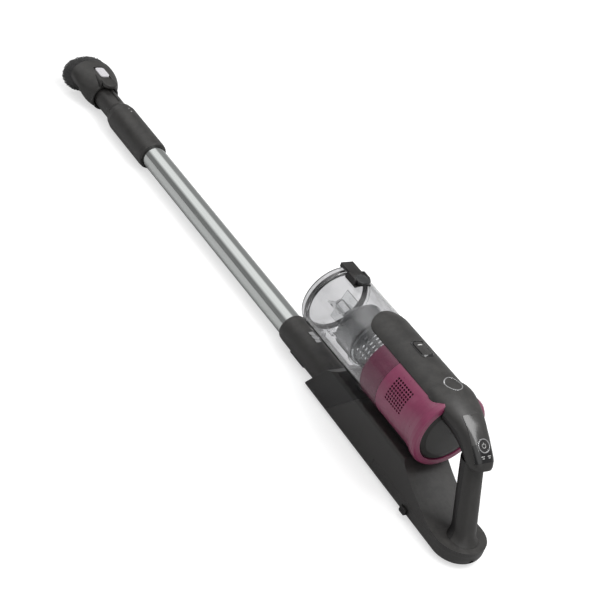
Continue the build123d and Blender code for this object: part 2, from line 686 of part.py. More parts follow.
def exhaust_filter():
    """Flat filter disc in front of the rear cap."""
    return tube(HOUSING_BORE_R - 0.1, 8, -395.5, -400.5, BIN_Z)


def motor_can():
    """Steel can of the motor, with a plate at each end that holds a bearing."""
    can = tube(CAN_R, CAN_R - 1.5, -355, -394, BIN_Z)
    for x in (-355.0, -391.0):
        can = can + tube(CAN_R, BEARING_R, x, x - 3, BIN_Z)
    return can


def motor_stator():
    """Laminated core with six slots."""
    core = tube(CAN_R - 1.6, 13, -361, -388, BIN_Z)
    for i in range(6):
        slot = block(-350, -400, -2.4, 2.4, 13.5, 20.5)
        core = core - Pos(0, 0, BIN_Z) * Rot(60 * i, 0, 0) * slot
    return core


def motor_mount():
    """Rubber ring that carries the can inside the housing."""
    return tube(HOUSING_BORE_R - 0.05, CAN_R + 0.05, -367, -373, BIN_Z)


def rotor_bearings():
    """One bearing at each end of the can."""
    rings = [tube(BEARING_R, SHAFT_R + BEARING_PLAY, x, x - 3, BIN_Z) for x in (-355.0, -391.0)]
    return Compound(children=rings)


def motor_rotor():
    """Shaft with the magnet rotor."""
    return rod(SHAFT_R, -337, -394.8, BIN_Z) + rod(12, -362, -387, BIN_Z)


def fan_impeller():
    """Backplate with curved blades round a hub."""
    wheel = rod(IMPELLER_R, -348, -350, BIN_Z) + rod(7, -338, -350, BIN_Z)
    for i in range(BLADES):
        blade = CenterArc((18, 0), 20, 25, 120)
        strip = make_face(offset(blade, 0.7, side=Side.BOTH))
        solid = extrude(plane_x(-348, BIN_Z) * Rot(0, 0, 360 / BLADES * i) * strip, 9)
        wheel = wheel + (solid & rod(IMPELLER_R - 0.5, -339, -348, BIN_Z))
    return wheel - rod(SHAFT_R, -330, -360, BIN_Z)


def fan_shroud():
    """Cover over the impeller with its round eye."""
    wall = tube(40.5, 39, -336, -352, BIN_Z) + tube(40.5, 16, -336, -337.5, BIN_Z)
    return wall + tube(HOUSING_BORE_R - 0.1, 39, -345, -352, BIN_Z)


# ---- handle --------------------------------------------------------------------------------

# Bar behind the saddle: crown point, slope, half width, half height and squareness.
BAR = [
    (-352.0, 162.5, 0.0, 23.0, 12.0, 2.0),
    (-385.0, 163.3, 0.0, 29.5, 16.5, 2.1),
    (-405.0, 162.3, 7.0, 29.5, 17.0, 2.3),
    (-425.0, 157.2, 20.0, 25.0, 15.5, 2.5),
    (-445.0, 149.0, 29.0, 20.0, 14.2, 2.7),
    (POWER_X, POWER_Z, POWER_SLOPE, 16.5, 13.5, 2.8),
    (-478.5, 125.0, 47.0, 15.5, 12.0, 2.6),
    (-483.5, 116.0, 58.0, 11.5, 8.0, 2.2),
]
# Grip: height, centre, half depth and half width.
GRIP_FOOT = [(DECK_Z, -494.0, 18.6, 19.0), (29.0, -491.5, 16.8, 15.6), (37.0, -488.7, 14.8, 14.2)]
GRIP = [(37.0, -488.7, 14.8, 14.2), (75.0, -473.0, 14.4, 14.0), (112.0, -457.8, 14.0, 13.6)]
# Line along the middle of the handle, where its two shells meet.
PARTING = [
    (-200, 145.8),
    (-404, 145.8),
    (-420, 143.0),
    (-439, 137),
    (-455, 125),
    (-462, 110),
    (-488, 40),
    (-495, 20),
    (-600, 20),
    (-600, 220),
    (-200, 220),
]


def saddle(grow=0.0):
    """Domed arm over the bin, with a rounded nose, before the bin's room is cut from it."""
    radius = SADDLE_R + grow
    dome = rod(radius, SADDLE_FRONT_X, SADDLE_REAR_X, SADDLE_Z)
    nose = scale(Sphere(radius), by=((SADDLE_NOSE + grow) / radius, 1, 1))
    return dome + Pos(SADDLE_FRONT_X, 0, SADDLE_Z) * nose


def bar(grow=0.0):
    """Curved bar from the saddle to the pod over the grip."""
    sections = []
    for x, z, slope, a, b, power in BAR:
        angle = radians(slope)
        centre = (x + b * sin(angle), 0, z - b * cos(angle))
        plane = Plane(origin=centre, x_dir=(0, 1, 0), z_dir=(-cos(angle), 0, -sin(angle)))
        sections.append(squircle(plane, a + grow, b + grow, power))
    return loft(sections)


def grip(grow=0.0):
    """Upright grip with its spreading foot."""
    parts = []
    for rows in (GRIP_FOOT, GRIP):
        sections = []
        for z, x, depth, width in rows:
            plane = Plane(origin=(x, 0, z), x_dir=(1, 0, 0), z_dir=(0, 0, 1))
            sections.append(squircle(plane, depth + grow, width + grow, 2.3))
        parts.append(loft(sections))
    return parts[0] + parts[1]


def bin_room(grow):
    """Space of the bin, its collar and the motor housing under the saddle."""
    return rod(BIN_R + grow, -100, MOTOR_REAR_X - 1 - grow, BIN_Z)


def power_plane(lift=0.0):
    """Plane of the power button on the pod."""
    angle = radians(POWER_SLOPE)
    normal = (-sin(angle), 0, cos(angle))
    origin = (POWER_X + lift * normal[0], 0, POWER_Z + lift * normal[2])
    return Plane(origin=origin, x_dir=(0, 1, 0), z_dir=normal)


def power_disc(radius, low, high):
    """Disc square to the pod's face between two heights."""
    return extrude(power_plane(low) * Circle(radius), high - low)


def handle_solid(grow=0.0):
    """Whole handle before it is split into shells."""
    return saddle(grow) + bar(grow) + grip(grow)


def handle_shell(solid):
    """Hollow handle, open where the buttons go through."""
    shell = solid - bin_room(SADDLE_GAP)
    shell = shell - (saddle(-HANDLE_WALL) + bar(-HANDLE_WALL) + grip(-HANDLE_WALL))
    half_x, half_y = BUTTON_SIZE[0] / 2 + 0.3, BUTTON_SIZE[1] / 2 + 0.3
    window = block(BUTTON_X - half_x, BUTTON_X + half_x, -half_y, half_y, 150, 180)
    return shell - window - power_disc(POWER_R + 0.3, -6, 6)


def saddle_plate():
    """Thin floor of the saddle, just above the bin."""
    floor = saddle(-HANDLE_WALL - 0.1) & (bin_room(SADDLE_GAP + 1.6) - bin_room(SADDLE_GAP))
    return floor & block(-200, -398, -60, 60, 140, 200)


def badge_ring(solid):
    """Plain ring let onto the crown of the arm."""
    ring = upright(BADGE_R, BADGE_X, 0, 140, 180) - upright(BADGE_R - 1.3, BADGE_X, 0, 130, 190)
    return (ring & (saddle(0.4) + bar(0.4))) - solid


def bin_release_button():
    """Rectangular button in the crown of the arm."""
    half_x, half_y = BUTTON_SIZE[0] / 2, BUTTON_SIZE[1] / 2
    body = block(BUTTON_X - half_x, BUTTON_X + half_x, -half_y, half_y, 161.3, 170)
    return body & rod(SADDLE_R + 0.5, -300, -340, SADDLE_Z)


def pod_skin(front, rear, half, solid):
    """Patch of thin skin on the pod's face, between two distances along it from the button."""
    middle = Pos(0, (front + rear) / 2)
    patch = extrude(power_plane(-14) * middle * Rectangle(2 * half, rear - front), 18)
    hole = power_disc(POWER_R + RING_WIDTH + 0.3, -6, 6)
    return (bar(0.5) & patch) - solid - hole


def power_ring(solid):
    """Bright ring round the power button."""
    ring = power_disc(POWER_R + RING_WIDTH, -0.4, 0.9) - power_disc(POWER_R + 0.3, -1, 2)
    return ring - solid


def power_button():
    """Round button inside the bright ring."""
    return power_disc(POWER_R, -2.5, 0.5)


def write(name, shape):
    """Writes one node and prints its volume."""
    export_step(shape, f"{OUT}/{name}.step")
    print(name, round(sum(s.volume for s in shape.solids())))


def main():
    """Builds every node."""
    os.makedirs("parts", exist_ok=True)
    solid = handle_solid()
    shell = handle_shell(solid)
    outer_side = side_cut(PARTING)
    nodes = {
        "upper_coupling": upper_coupling,
        "contact_pins": contact_pins,
        "wand_tube": wand_tube,
        "lower_coupling": lower_coupling,
        "contact_strip": contact_strip,
        "coupling_seal": coupling_seal,
        "upper_latch_button": lambda: latch_button(UPPER_LATCH_X),
        "lower_latch_button": lambda: latch_button(LOWER_LATCH_X),
        "latch_springs": latch_springs,
        "brush_hood": brush_hood,
        "bristle_carrier": bristle_carrier,
        "bristle_ring": bristle_ring,
        "bristle_slide_button": bristle_slide_button,
        "tool_release_tab": tool_release_tab,
        "front_sleeve": front_sleeve,
        "main_housing": main_housing,
        "housing_screws": housing_screws,
        "inlet_duct": inlet_duct,
        "duct_seal": duct_seal,
        "circuit_board": circuit_board,
        "battery_tray": battery_tray,
        "battery_lid": battery_lid,
        "battery_cells": battery_cells,
        "battery_contacts": battery_contacts,
        "charge_jack": charge_jack,
        "battery_latch_left": lambda: battery_latch(1),
        "battery_latch_right": lambda: battery_latch(-1),
        "bin_cup": bin_cup,
        "flap_hinge_pin": flap_hinge_pin,
        "bin_flap": bin_flap,
        "flap_seal": flap_seal,
        "latch_mount": latch_mount,
        "flap_latch": flap_latch,
        "cyclone_vane": cyclone_vane,
        "cyclone_cone": cyclone_cone,
        "debris_cup": debris_cup,
        "shroud_screen": shroud_screen,
        "bin_collar": bin_collar,
        "prefilter": prefilter,
        "motor_housing": lambda: motor_housing(saddle(0.1) + bar(0.1) - bin_room(0.3)),
        "motor_cradle": motor_cradle,
        "rear_cap": rear_cap,
        "exhaust_filter": exhaust_filter,
        "motor_can": motor_can,
        "motor_stator": motor_stator,
        "motor_mount": motor_mount,
        "rotor_bearings": rotor_bearings,
        "motor_rotor": motor_rotor,
        "fan_impeller": fan_impeller,
        "fan_shroud": fan_shroud,
        "handle_outer_shell": lambda: shell & outer_side,
        "handle_inner_shell": lambda: shell - outer_side,
        "saddle_plate": saddle_plate,
        "badge_ring": lambda: badge_ring(solid),
        "bin_release_button": bin_release_button,
        "pod_panel": lambda: pod_skin(-38, -2, 14.2, solid),
        "display_lens": lambda: pod_skin(-1.8, 19, 14.2, solid),
        "power_ring": lambda: power_ring(solid),
        "power_button": power_button,
    }
    for name, make in nodes.items():
        write(name, make())


main()
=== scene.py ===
"""Looks of a cordless stick vacuum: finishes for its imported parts, finer pieces, light and camera.

The machine lies belly down with its wand along +X, its left flank towards +Y and its bin on top.
"""

import json
import logging
import random
from dataclasses import dataclass
from enum import Enum
from math import cos, hypot, pi, radians, sin, sqrt
from typing import Callable, Iterable

import bmesh
import bpy
from mathutils import Matrix, Vector


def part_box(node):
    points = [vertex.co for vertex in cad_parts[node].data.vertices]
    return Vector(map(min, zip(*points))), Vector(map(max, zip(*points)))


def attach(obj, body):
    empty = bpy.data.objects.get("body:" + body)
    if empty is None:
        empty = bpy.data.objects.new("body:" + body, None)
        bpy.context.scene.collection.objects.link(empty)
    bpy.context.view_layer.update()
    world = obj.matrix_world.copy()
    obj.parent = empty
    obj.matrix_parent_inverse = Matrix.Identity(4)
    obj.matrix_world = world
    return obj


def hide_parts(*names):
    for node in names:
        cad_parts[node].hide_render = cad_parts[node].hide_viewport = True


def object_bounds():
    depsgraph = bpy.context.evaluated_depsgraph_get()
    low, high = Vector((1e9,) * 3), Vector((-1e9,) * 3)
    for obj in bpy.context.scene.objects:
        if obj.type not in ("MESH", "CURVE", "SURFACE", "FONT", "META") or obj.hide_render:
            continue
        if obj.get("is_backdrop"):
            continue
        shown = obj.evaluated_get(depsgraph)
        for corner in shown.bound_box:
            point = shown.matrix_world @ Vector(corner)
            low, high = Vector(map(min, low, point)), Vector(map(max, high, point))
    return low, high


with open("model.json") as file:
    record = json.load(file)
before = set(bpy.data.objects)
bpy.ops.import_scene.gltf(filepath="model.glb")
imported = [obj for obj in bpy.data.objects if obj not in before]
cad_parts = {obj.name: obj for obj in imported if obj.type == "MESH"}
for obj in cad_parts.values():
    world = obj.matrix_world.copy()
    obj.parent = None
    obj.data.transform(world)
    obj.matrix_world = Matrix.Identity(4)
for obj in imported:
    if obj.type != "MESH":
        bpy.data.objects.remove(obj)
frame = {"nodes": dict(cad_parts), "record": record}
cad_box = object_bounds()

MM = 0.001
FACE_REACH = 12 * MM
FACE_DEPTH = 40 * MM
log = logging.getLogger("stick_vacuum")

Colour = tuple[float, float, float]
Point = tuple[float, float, float]
Lift = Callable[[float, float], Vector]


def paint(red: int, green: int, blue: int) -> Colour:
    """Turns a colour of 0 to 255 as seen into a linear one.

    Args:
        red: Red as seen.
        green: Green as seen.
        blue: Blue as seen.

    Returns:
        The linear colour.
    """
    shares = (red / 255, green / 255, blue / 255)
    return tuple(((c + 0.055) / 1.055) ** 2.4 if c > 0.04045 else c / 12.92 for c in shares)


# ---- shader trees ------------------------------------------------------------------------


class Graph:
    """A shader tree, with short calls to place and join its nodes."""

    def __init__(self, tree: bpy.types.NodeTree) -> None:
        """Starts from an empty tree.

        Args:
            tree: The tree of a material or of a node group.
        """
        self.tree = tree
        tree.nodes.clear()

    def feed(self, socket: bpy.types.NodeSocket, value: object) -> None:
        """Sets an input to a value, or joins it to an output.

        Args:
            socket: The input.
            value: A number, a colour, a vector or an output socket.
        """
        if isinstance(value, bpy.types.NodeSocket):
            self.tree.links.new(value, socket)
        elif isinstance(value, (tuple, list)) and socket.type == "RGBA":
            socket.default_value = (*value[:3], 1.0)
        else:
            socket.default_value = value

    def add(self, kind: str, settings: dict | None = None, **inputs: object) -> bpy.types.Node:
        """Adds a node.

        Args:
            kind: The node's type name.
            settings: Properties of the node itself.
            **inputs: Values by input name, with underscores for spaces.

        Returns:
            The node.
        """
        node = self.tree.nodes.new(kind)
        for name, value in (settings or {}).items():
            setattr(node, name, value)
        for name, value in inputs.items():
            self.feed(node.inputs[name.replace("_", " ")], value)
        return node

    def math(self, operation: str, a: object, b: object = 0.0, clamp: bool = False) -> bpy.types.NodeSocket:
        """Adds a Math node and returns its result."""
        node = self.add("ShaderNodeMath", {"operation": operation, "use_clamp": clamp})
        self.feed(node.inputs[0], a)
        self.feed(node.inputs[1], b)
        return node.outputs[0]

    def spread(self, value: object, low: float, high: float, to: tuple[float, float]) -> bpy.types.NodeSocket:
        """Adds a Map Range node from low..high to another range and returns its result."""
        node = self.add("ShaderNodeMapRange", None, Value=value)
        for name, number in zip(("From Min", "From Max", "To Min", "To Max"), (low, high, *to)):
            self.feed(node.inputs[name], number)
        return node.outputs[0]

    def blend(self, share: object, a: object, b: object, way: str = "MIX") -> bpy.types.NodeSocket:
        """Adds a colour Mix node and returns its result."""
        node = self.add("ShaderNodeMix", {"data_type": "RGBA", "blend_type": way})
        for index, value in ((0, share), (6, a), (7, b)):
            self.feed(node.inputs[index], value)
        return node.outputs[2]

    def noise(
        self, place: object, scale: float, detail: float = 3.0, rough: float = 0.5
    ) -> bpy.types.NodeSocket:
        """Adds a Noise Texture and returns its value."""
        node = self.add("ShaderNodeTexNoise", None, Vector=place, Scale=scale, Detail=detail, Roughness=rough)
        return node.outputs[0]

    def stretched(self, place: object, scale: Point, turn: Point = (0, 0, 0)) -> bpy.types.NodeSocket:
        """Adds a Mapping node and returns its vector."""
        node = self.add("ShaderNodeMapping", None, Vector=place, Scale=scale, Rotation=turn)
        return node.outputs[0]

    def bump(self, height: object, depth: float, normal: object = None) -> bpy.types.NodeSocket:
        """Adds a Bump node of a depth in metres and returns its normal."""
        node = self.add("ShaderNodeBump", None, Height=height, Distance=depth, Strength=1.0)
        if normal is not None:
            self.feed(node.inputs["Normal"], normal)
        return node.outputs[0]


class Effect(Enum):
    """The shader groups that several finishes share."""

    GRAIN = "mould_grain"
    EDGES = "edge_wear"
    DUST = "settled_dust"
    LINES = "drawn_lines"
    SMUDGES = "hand_smudges"


def open_group(
    effect: Effect, inputs: dict[str, object], outputs: dict[str, str]
) -> tuple[Graph, dict, dict]:
    """Makes a node group with named inputs and outputs.

    Args:
        effect: Which group it is.
        inputs: Default number by input name, or None for a vector.
        outputs: Socket type by output name.

    Returns:
        The group's graph, its input sockets by name, and its output sockets by name.
    """
    tree = bpy.data.node_groups.new(effect.value, "ShaderNodeTree")
    for name, default in inputs.items():
        kind = "NodeSocketVector" if default is None else "NodeSocketFloat"
        socket = tree.interface.new_socket(name=name, in_out="INPUT", socket_type=kind)
        if default is not None:
            socket.default_value = default
    for name, kind in outputs.items():
        tree.interface.new_socket(name=name, in_out="OUTPUT", socket_type=kind)
    graph = Graph(tree)
    start = graph.add("NodeGroupInput")
    end = graph.add("NodeGroupOutput")
    return graph, start.outputs, end.inputs


def grain_group() -> None:
    """Builds the fine spark-eroded grain of moulded plastic."""
    graph, given, out = open_group(
        Effect.GRAIN,
        {"Vector": None, "Scale": 1500.0},
        {"Height": "NodeSocketFloat", "Tone": "NodeSocketFloat"},
    )
    fine = graph.noise(given["Vector"], 1.0, 2.0, 0.6)
    graph.feed(fine.node.inputs["Scale"], given["Scale"])
    coarse = graph.noise(given["Vector"], 1.0, 1.0, 0.5)
    graph.feed(coarse.node.inputs["Scale"], graph.math("MULTIPLY", given["Scale"], 0.31))
    height = graph.math("ADD", graph.math("MULTIPLY", fine, 0.6), graph.math("MULTIPLY", coarse, 0.4))
    graph.feed(out["Height"], height)
    broad = graph.noise(given["Vector"], 22.0, 4.0, 0.55)
    mixed = graph.math("ADD", graph.math("MULTIPLY", broad, 0.7), graph.math("MULTIPLY", coarse, 0.3))
    graph.feed(out["Tone"], graph.spread(mixed, 0.3, 0.7, (0.0, 1.0)))


def edge_group() -> None:
    """Builds the rounding and rubbing of edges, from the angle between the face and its softened normal."""
    graph, given, out = open_group(
        Effect.EDGES,
        {"Vector": None, "Radius": 0.0006, "Amount": 0.3},
        {"Normal": "NodeSocketVector", "Mask": "NodeSocketFloat"},
    )
    soft = graph.add("ShaderNodeBevel", {"samples": 4}, Radius=given["Radius"])
    face = graph.add("ShaderNodeNewGeometry")
    dot = graph.add("ShaderNodeVectorMath", {"operation": "DOT_PRODUCT"})
    graph.feed(dot.inputs[0], soft.outputs[0])
    graph.feed(dot.inputs[1], face.outputs["Normal"])
    bent = graph.spread(dot.outputs["Value"], 0.98, 0.80, (0.0, 1.0))
    broken = graph.spread(graph.noise(given["Vector"], 420.0, 4.0, 0.65), 0.38, 0.62, (0.0, 1.0))
    graph.feed(out["Normal"], soft.outputs[0])
    rubbed = graph.math("MULTIPLY", bent, broken)
    graph.feed(out["Mask"], graph.math("MULTIPLY", rubbed, given["Amount"], clamp=True))


def dust_group() -> None:
    """Builds a thin haze of dust on what faces up."""
    graph, given, out = open_group(
        Effect.DUST, {"Vector": None, "Amount": 0.1}, {"Mask": "NodeSocketFloat"}
    )
    face = graph.add("ShaderNodeNewGeometry")
    parts = graph.add("ShaderNodeSeparateXYZ", None, Vector=face.outputs["Normal"])
    up = graph.spread(parts.outputs["Z"], 0.2, 1.0, (0.0, 1.0))
    patch = graph.spread(graph.noise(given["Vector"], 65.0, 6.0, 0.7), 0.4, 0.75, (0.0, 1.0))
    lying = graph.math("MULTIPLY", up, patch)
    graph.feed(out["Mask"], graph.math("MULTIPLY", lying, given["Amount"], clamp=True))


def line_group() -> None:
    """Builds the fine lines that drawing or turning leaves on metal, along the vector's first axis."""
    graph, given, out = open_group(
        Effect.LINES,
        {"Vector": None, "Scale": 900.0},
        {"Height": "NodeSocketFloat", "Tone": "NodeSocketFloat"},
    )
    along = graph.stretched(given["Vector"], (0.006, 1.0, 1.0))
    hair = graph.noise(along, 1.0, 3.0, 0.7)
    graph.feed(hair.node.inputs["Scale"], given["Scale"])
    band = graph.noise(graph.stretched(given["Vector"], (0.02, 1.0, 1.0)), 160.0, 3.0, 0.6)
    graph.feed(out["Height"], hair)
    graph.feed(out["Tone"], graph.spread(graph.math("ADD", hair, band), 0.7, 1.3, (0.0, 1.0)))


def smudge_group() -> None:
    """Builds faint smudges and hairline scratches on polished surfaces."""
    graph, given, out = open_group(
        Effect.SMUDGES,
        {"Vector": None, "Amount": 0.1},
        {"Haze": "NodeSocketFloat", "Scratch": "NodeSocketFloat"},
    )
    haze = graph.spread(graph.noise(given["Vector"], 38.0, 5.0, 0.6), 0.45, 0.75, (0.0, 1.0))
    graph.feed(out["Haze"], graph.math("MULTIPLY", haze, given["Amount"], clamp=True))
    line = graph.noise(graph.stretched(given["Vector"], (0.03, 1.0, 0.7), (0.3, 0.2, 0.6)), 900.0, 2.0, 0.4)
    graph.feed(out["Scratch"], graph.spread(line, 0.68, 0.78, (0.0, 1.0)))


def build_groups() -> None:
    """Builds every shared shader group once."""
    for build in (grain_group, edge_group, dust_group, line_group, smudge_group):
        build()


def start_material(name: str) -> tuple[bpy.types.Material, Graph, bpy.types.NodeSocket]:
    """Makes a material with an empty tree.

    Args:
        name: The material's name.

    Returns:
        The material, its graph and its Object coordinates.
    """
    material = bpy.data.materials.new(name)
    material.use_nodes = True
    graph = Graph(material.node_tree)
    place = graph.add("ShaderNodeTexCoord").outputs["Object"]
    return material, graph, place


def use_effect(graph: Graph, effect: Effect, **inputs: object) -> bpy.types.Node:
    """Places a shared group in a material.

    Args:
        graph: The material's graph.
        effect: Which group.
        **inputs: Values by input name.

    Returns:
        The group node.
    """
    node = graph.add("ShaderNodeGroup", {"node_tree": bpy.data.node_groups[effect.value]})
    for name, value in inputs.items():
        graph.feed(node.inputs[name], value)
    return node


def finish_material(graph: Graph, shader: bpy.types.NodeSocket) -> None:
    """Joins the last shader to the material's output."""
    graph.feed(graph.add("ShaderNodeOutputMaterial").inputs["Surface"], shader)


# ---- finishes ----------------------------------------------------------------------------


@dataclass(frozen=True)
class Moulded:
    """Moulded plastic or rubber with grain, softened edges, rubbed corners and a trace of dust.

    Attributes:
        name: The material's name.
        tone: Its colour.
        rough: Roughness.
        grain: How many grains there are in a metre.
        depth: Depth of the grain in metres.
        drift: How far the colour drifts from darker to lighter, as a share.
        wear: How much the edges are rubbed lighter.
        dust: How much dust lies on what faces up.
        coat: Weight of a gloss coat.
        specular: Specular level.
        edge: Radius that edges are softened by, in metres.
        clear: Share of what is behind that shows through.
        sheen: Weight of a soft sheen.
    """

    name: str
    tone: Colour
    rough: float = 0.5
    grain: float = 1500.0
    depth: float = 0.00003
    drift: float = 0.12
    wear: float = 0.25
    dust: float = 0.06
    coat: float = 0.0
    specular: float = 0.5
    edge: float = 0.0006
    clear: float = 0.0
    sheen: float = 0.0

    def make(self) -> bpy.types.Material:
        """Builds the material."""
        material, graph, place = start_material(self.name)
        grain = use_effect(graph, Effect.GRAIN, Vector=place, Scale=self.grain)
        edges = use_effect(graph, Effect.EDGES, Vector=place, Radius=self.edge, Amount=self.wear)
        dust = use_effect(graph, Effect.DUST, Vector=place, Amount=self.dust)
        dark = tuple(c * (1 - self.drift) for c in self.tone)
        light = tuple(min(1.0, c * (1 + self.drift)) for c in self.tone)
        rubbed = tuple(min(1.0, c * 1.6 + 0.02) for c in self.tone)
        colour = graph.blend(grain.outputs["Tone"], dark, light)
        colour = graph.blend(edges.outputs["Mask"], colour, rubbed)
        colour = graph.blend(dust.outputs["Mask"], colour, paint(178, 174, 168))
        rough = graph.spread(grain.outputs["Tone"], 0.0, 1.0, (self.rough * 0.88, min(1.0, self.rough * 1.1)))
        rough = graph.math("ADD", rough, graph.math("MULTIPLY", dust.outputs["Mask"], 0.5), clamp=True)
        normal = graph.bump(grain.outputs["Height"], self.depth, edges.outputs["Normal"])
        shader = graph.add(
            "ShaderNodeBsdfPrincipled",
            None,
            Base_Color=colour,
            Roughness=rough,
            Normal=normal,
            Specular_IOR_Level=self.specular,
            Coat_Weight=self.coat,
            Coat_Roughness=0.12,
            Sheen_Weight=self.sheen,
            Alpha=1.0 - self.clear,
        )
        finish_material(graph, shader.outputs[0])
        return material


@dataclass(frozen=True)
class Metal:
    """Bare or plated metal with drawn lines along X and faint smudges.

    Attributes:
        name: The material's name.
        tone: Its colour.
        rough: Roughness.
        lines: How many lines there are in a metre.
        depth: Depth of the lines in metres.
        stretch: Anisotropy of the highlight.
        haze: How much the smudges dull it.
    """

    name: str
    tone: Colour
    rough: float = 0.2
    lines: float = 900.0
    depth: float = 0.000004
    stretch: float = 0.0
    haze: float = 0.12

    def make(self) -> bpy.types.Material:
        """Builds the material."""
        material, graph, place = start_material(self.name)
        lines = use_effect(graph, Effect.LINES, Vector=place, Scale=self.lines)
        smudges = use_effect(graph, Effect.SMUDGES, Vector=place, Amount=self.haze)
        edges = use_effect(graph, Effect.EDGES, Vector=place, Radius=0.0003, Amount=0.2)
        dark = tuple(c * 0.93 for c in self.tone)
        colour = graph.blend(lines.outputs["Tone"], dark, self.tone)
        colour = graph.blend(edges.outputs["Mask"], colour, (0.95, 0.95, 0.95))
        rough = graph.spread(lines.outputs["Tone"], 0.0, 1.0, (self.rough * 0.8, self.rough * 1.2))
        rough = graph.math("ADD", rough, smudges.outputs["Haze"], clamp=True)
        shader = graph.add(
            "ShaderNodeBsdfPrincipled",
            None,
            Base_Color=colour,
            Roughness=rough,
            Metallic=1.0,
            Normal=graph.bump(lines.outputs["Height"], self.depth, edges.outputs["Normal"]),
            Anisotropic=self.stretch,
        )
        finish_material(graph, shader.outputs[0])
        return material


@dataclass(frozen=True)
class Polished:
    """Clear plastic that lets lamps through, with faint smudges and hairline scratches.

    Attributes:
        name: The material's name.
        tint: The colour it gives to what is behind it.
        rough: Roughness.
        index: Refractive index.
        haze: How much the smudges dull it.
    """

    name: str
    tint: Colour
    rough: float = 0.02
    index: float = 1.46
    haze: float = 0.05

    def make(self) -> bpy.types.Material:
        """Builds the material."""
        material, graph, place = start_material(self.name)
        smudges = use_effect(graph, Effect.SMUDGES, Vector=place, Amount=self.haze)
        rough = graph.math("ADD", smudges.outputs["Haze"], self.rough, clamp=True)
        tint = graph.blend(smudges.outputs["Scratch"], self.tint, tuple(c * 0.96 for c in self.tint))
        glass = graph.add(
            "ShaderNodeBsdfPrincipled",
            None,
            Base_Color=tint,
            Roughness=rough,
            IOR=self.index,
            Transmission_Weight=1.0,
            Normal=graph.bump(smudges.outputs["Scratch"], 0.000003),
        )
        through = graph.add("ShaderNodeBsdfTransparent", None, Color=self.tint)
        path = graph.add("ShaderNodeLightPath")
        both = graph.add("ShaderNodeMixShader", None, Fac=path.outputs["Is Shadow Ray"])
        graph.feed(both.inputs[1], glass.outputs[0])
        graph.feed(both.inputs[2], through.outputs[0])
        finish_material(graph, both.outputs[0])
        return material


@dataclass(frozen=True)
class Lettered:
    """Printed light mark, slightly broken by the grain under it.

    Attributes:
        name: The material's name.
        tone: Its colour.
        rough: Roughness.
    """

    name: str
    tone: Colour
    rough: float = 0.45

    def make(self) -> bpy.types.Material:
        """Builds the material."""
        material, graph, place = start_material(self.name)
        grain = use_effect(graph, Effect.GRAIN, Vector=place, Scale=5200.0)
        colour = graph.blend(grain.outputs["Tone"], tuple(c * 0.86 for c in self.tone), self.tone)
        shader = graph.add(
            "ShaderNodeBsdfPrincipled",
            None,
            Base_Color=colour,
            Roughness=self.rough,
            Normal=graph.bump(grain.outputs["Height"], 0.00001),
        )
        finish_material(graph, shader.outputs[0])
        return material


FINISHES = {
    "charcoal_shell": Moulded("charcoal_shell", paint(45, 44, 43), rough=0.44, specular=0.45),
    "dark_shell": Moulded("dark_shell", paint(28, 27, 27), rough=0.42, specular=0.4),
    "charcoal_gloss": Moulded(
        "charcoal_gloss", paint(52, 51, 50), rough=0.22, depth=0.00001, coat=0.3, wear=0.15, dust=0.02
    ),
    "gloss_black": Moulded(
        "gloss_black", paint(14, 14, 15), rough=0.1, depth=0.000004, coat=0.4, wear=0.1, dust=0.02
    ),
    "magenta_shell": Moulded(
        "magenta_shell",
        paint(130, 54, 86),
        rough=0.3,
        grain=900.0,
        depth=0.00001,
        coat=0.2,
        wear=0.35,
        dust=0.02,
    ),
    "magenta_clear": Moulded(
        "magenta_clear", paint(112, 58, 80), rough=0.2, depth=0.000005, coat=0.3, clear=0.25, dust=0.02
    ),
    "clear_bin": Polished("clear_bin", (0.945, 0.945, 0.955)),
    "smoke_clear": Moulded(
        "smoke_clear", paint(66, 67, 68), rough=0.2, depth=0.000005, clear=0.4, dust=0.02
    ),
    "pale_clear": Polished("pale_clear", (0.80, 0.81, 0.81), rough=0.04),
    "tube_metal": Metal("tube_metal", (0.62, 0.64, 0.63), rough=0.12, stretch=0.2),
    "steel": Metal("steel", (0.36, 0.36, 0.38), rough=0.3),
    "bright_ring": Metal("bright_ring", (0.84, 0.84, 0.85), rough=0.14, haze=0.05),
    "rubber_black": Moulded(
        "rubber_black", paint(38, 37, 37), rough=0.55, grain=2600.0, sheen=0.2, wear=0.1
    ),
    "bristle_black": Moulded(
        "bristle_black", paint(22, 22, 23), rough=0.5, grain=5000.0, sheen=0.15, dust=0.03
    ),
    "light_grey": Moulded("light_grey", paint(212, 210, 214), rough=0.38, depth=0.00001, wear=0.1),
    "contact_brass": Metal("contact_brass", (0.76, 0.58, 0.28), rough=0.24),
    "filter_foam": Moulded(
        "filter_foam", paint(206, 205, 200), rough=0.9, grain=2200.0, depth=0.0001, sheen=0.3
    ),
    "board_green": Moulded("board_green", paint(30, 92, 60), rough=0.4, coat=0.3),
    "cell_wrap": Moulded("cell_wrap", paint(60, 104, 156), rough=0.3, coat=0.4),
    "copper_core": Metal("copper_core", (0.5, 0.45, 0.42), rough=0.35),
}
PRINT = Lettered("printed_mark", paint(214, 214, 212))


class Paints:
    """The materials by slot, each made once."""

    def __init__(self) -> None:
        """Makes every finish."""
        build_groups()
        self.by_slot = {slot: finish.make() for slot, finish in FINISHES.items()}
        self.print = PRINT.make()
        self.slots = {row["node"]: row["material_slot"] for row in frame["record"]["subparts"]}

    def dress(self, obj: bpy.types.Object, slot: str) -> None:
        """Gives a piece one finish all over.

        Args:
            obj: The piece.
            slot: The record's material slot.
        """
        obj.data.materials.clear()
        obj.data.materials.append(self.by_slot[slot])

    def dress_nodes(self, names: Iterable[str]) -> None:
        """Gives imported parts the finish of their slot."""
        for name in names:
            self.dress(frame["nodes"][name], self.slots[name])
            log.info("dressed %s as %s", name, self.slots[name])


# ---- mesh tools --------------------------------------------------------------------------


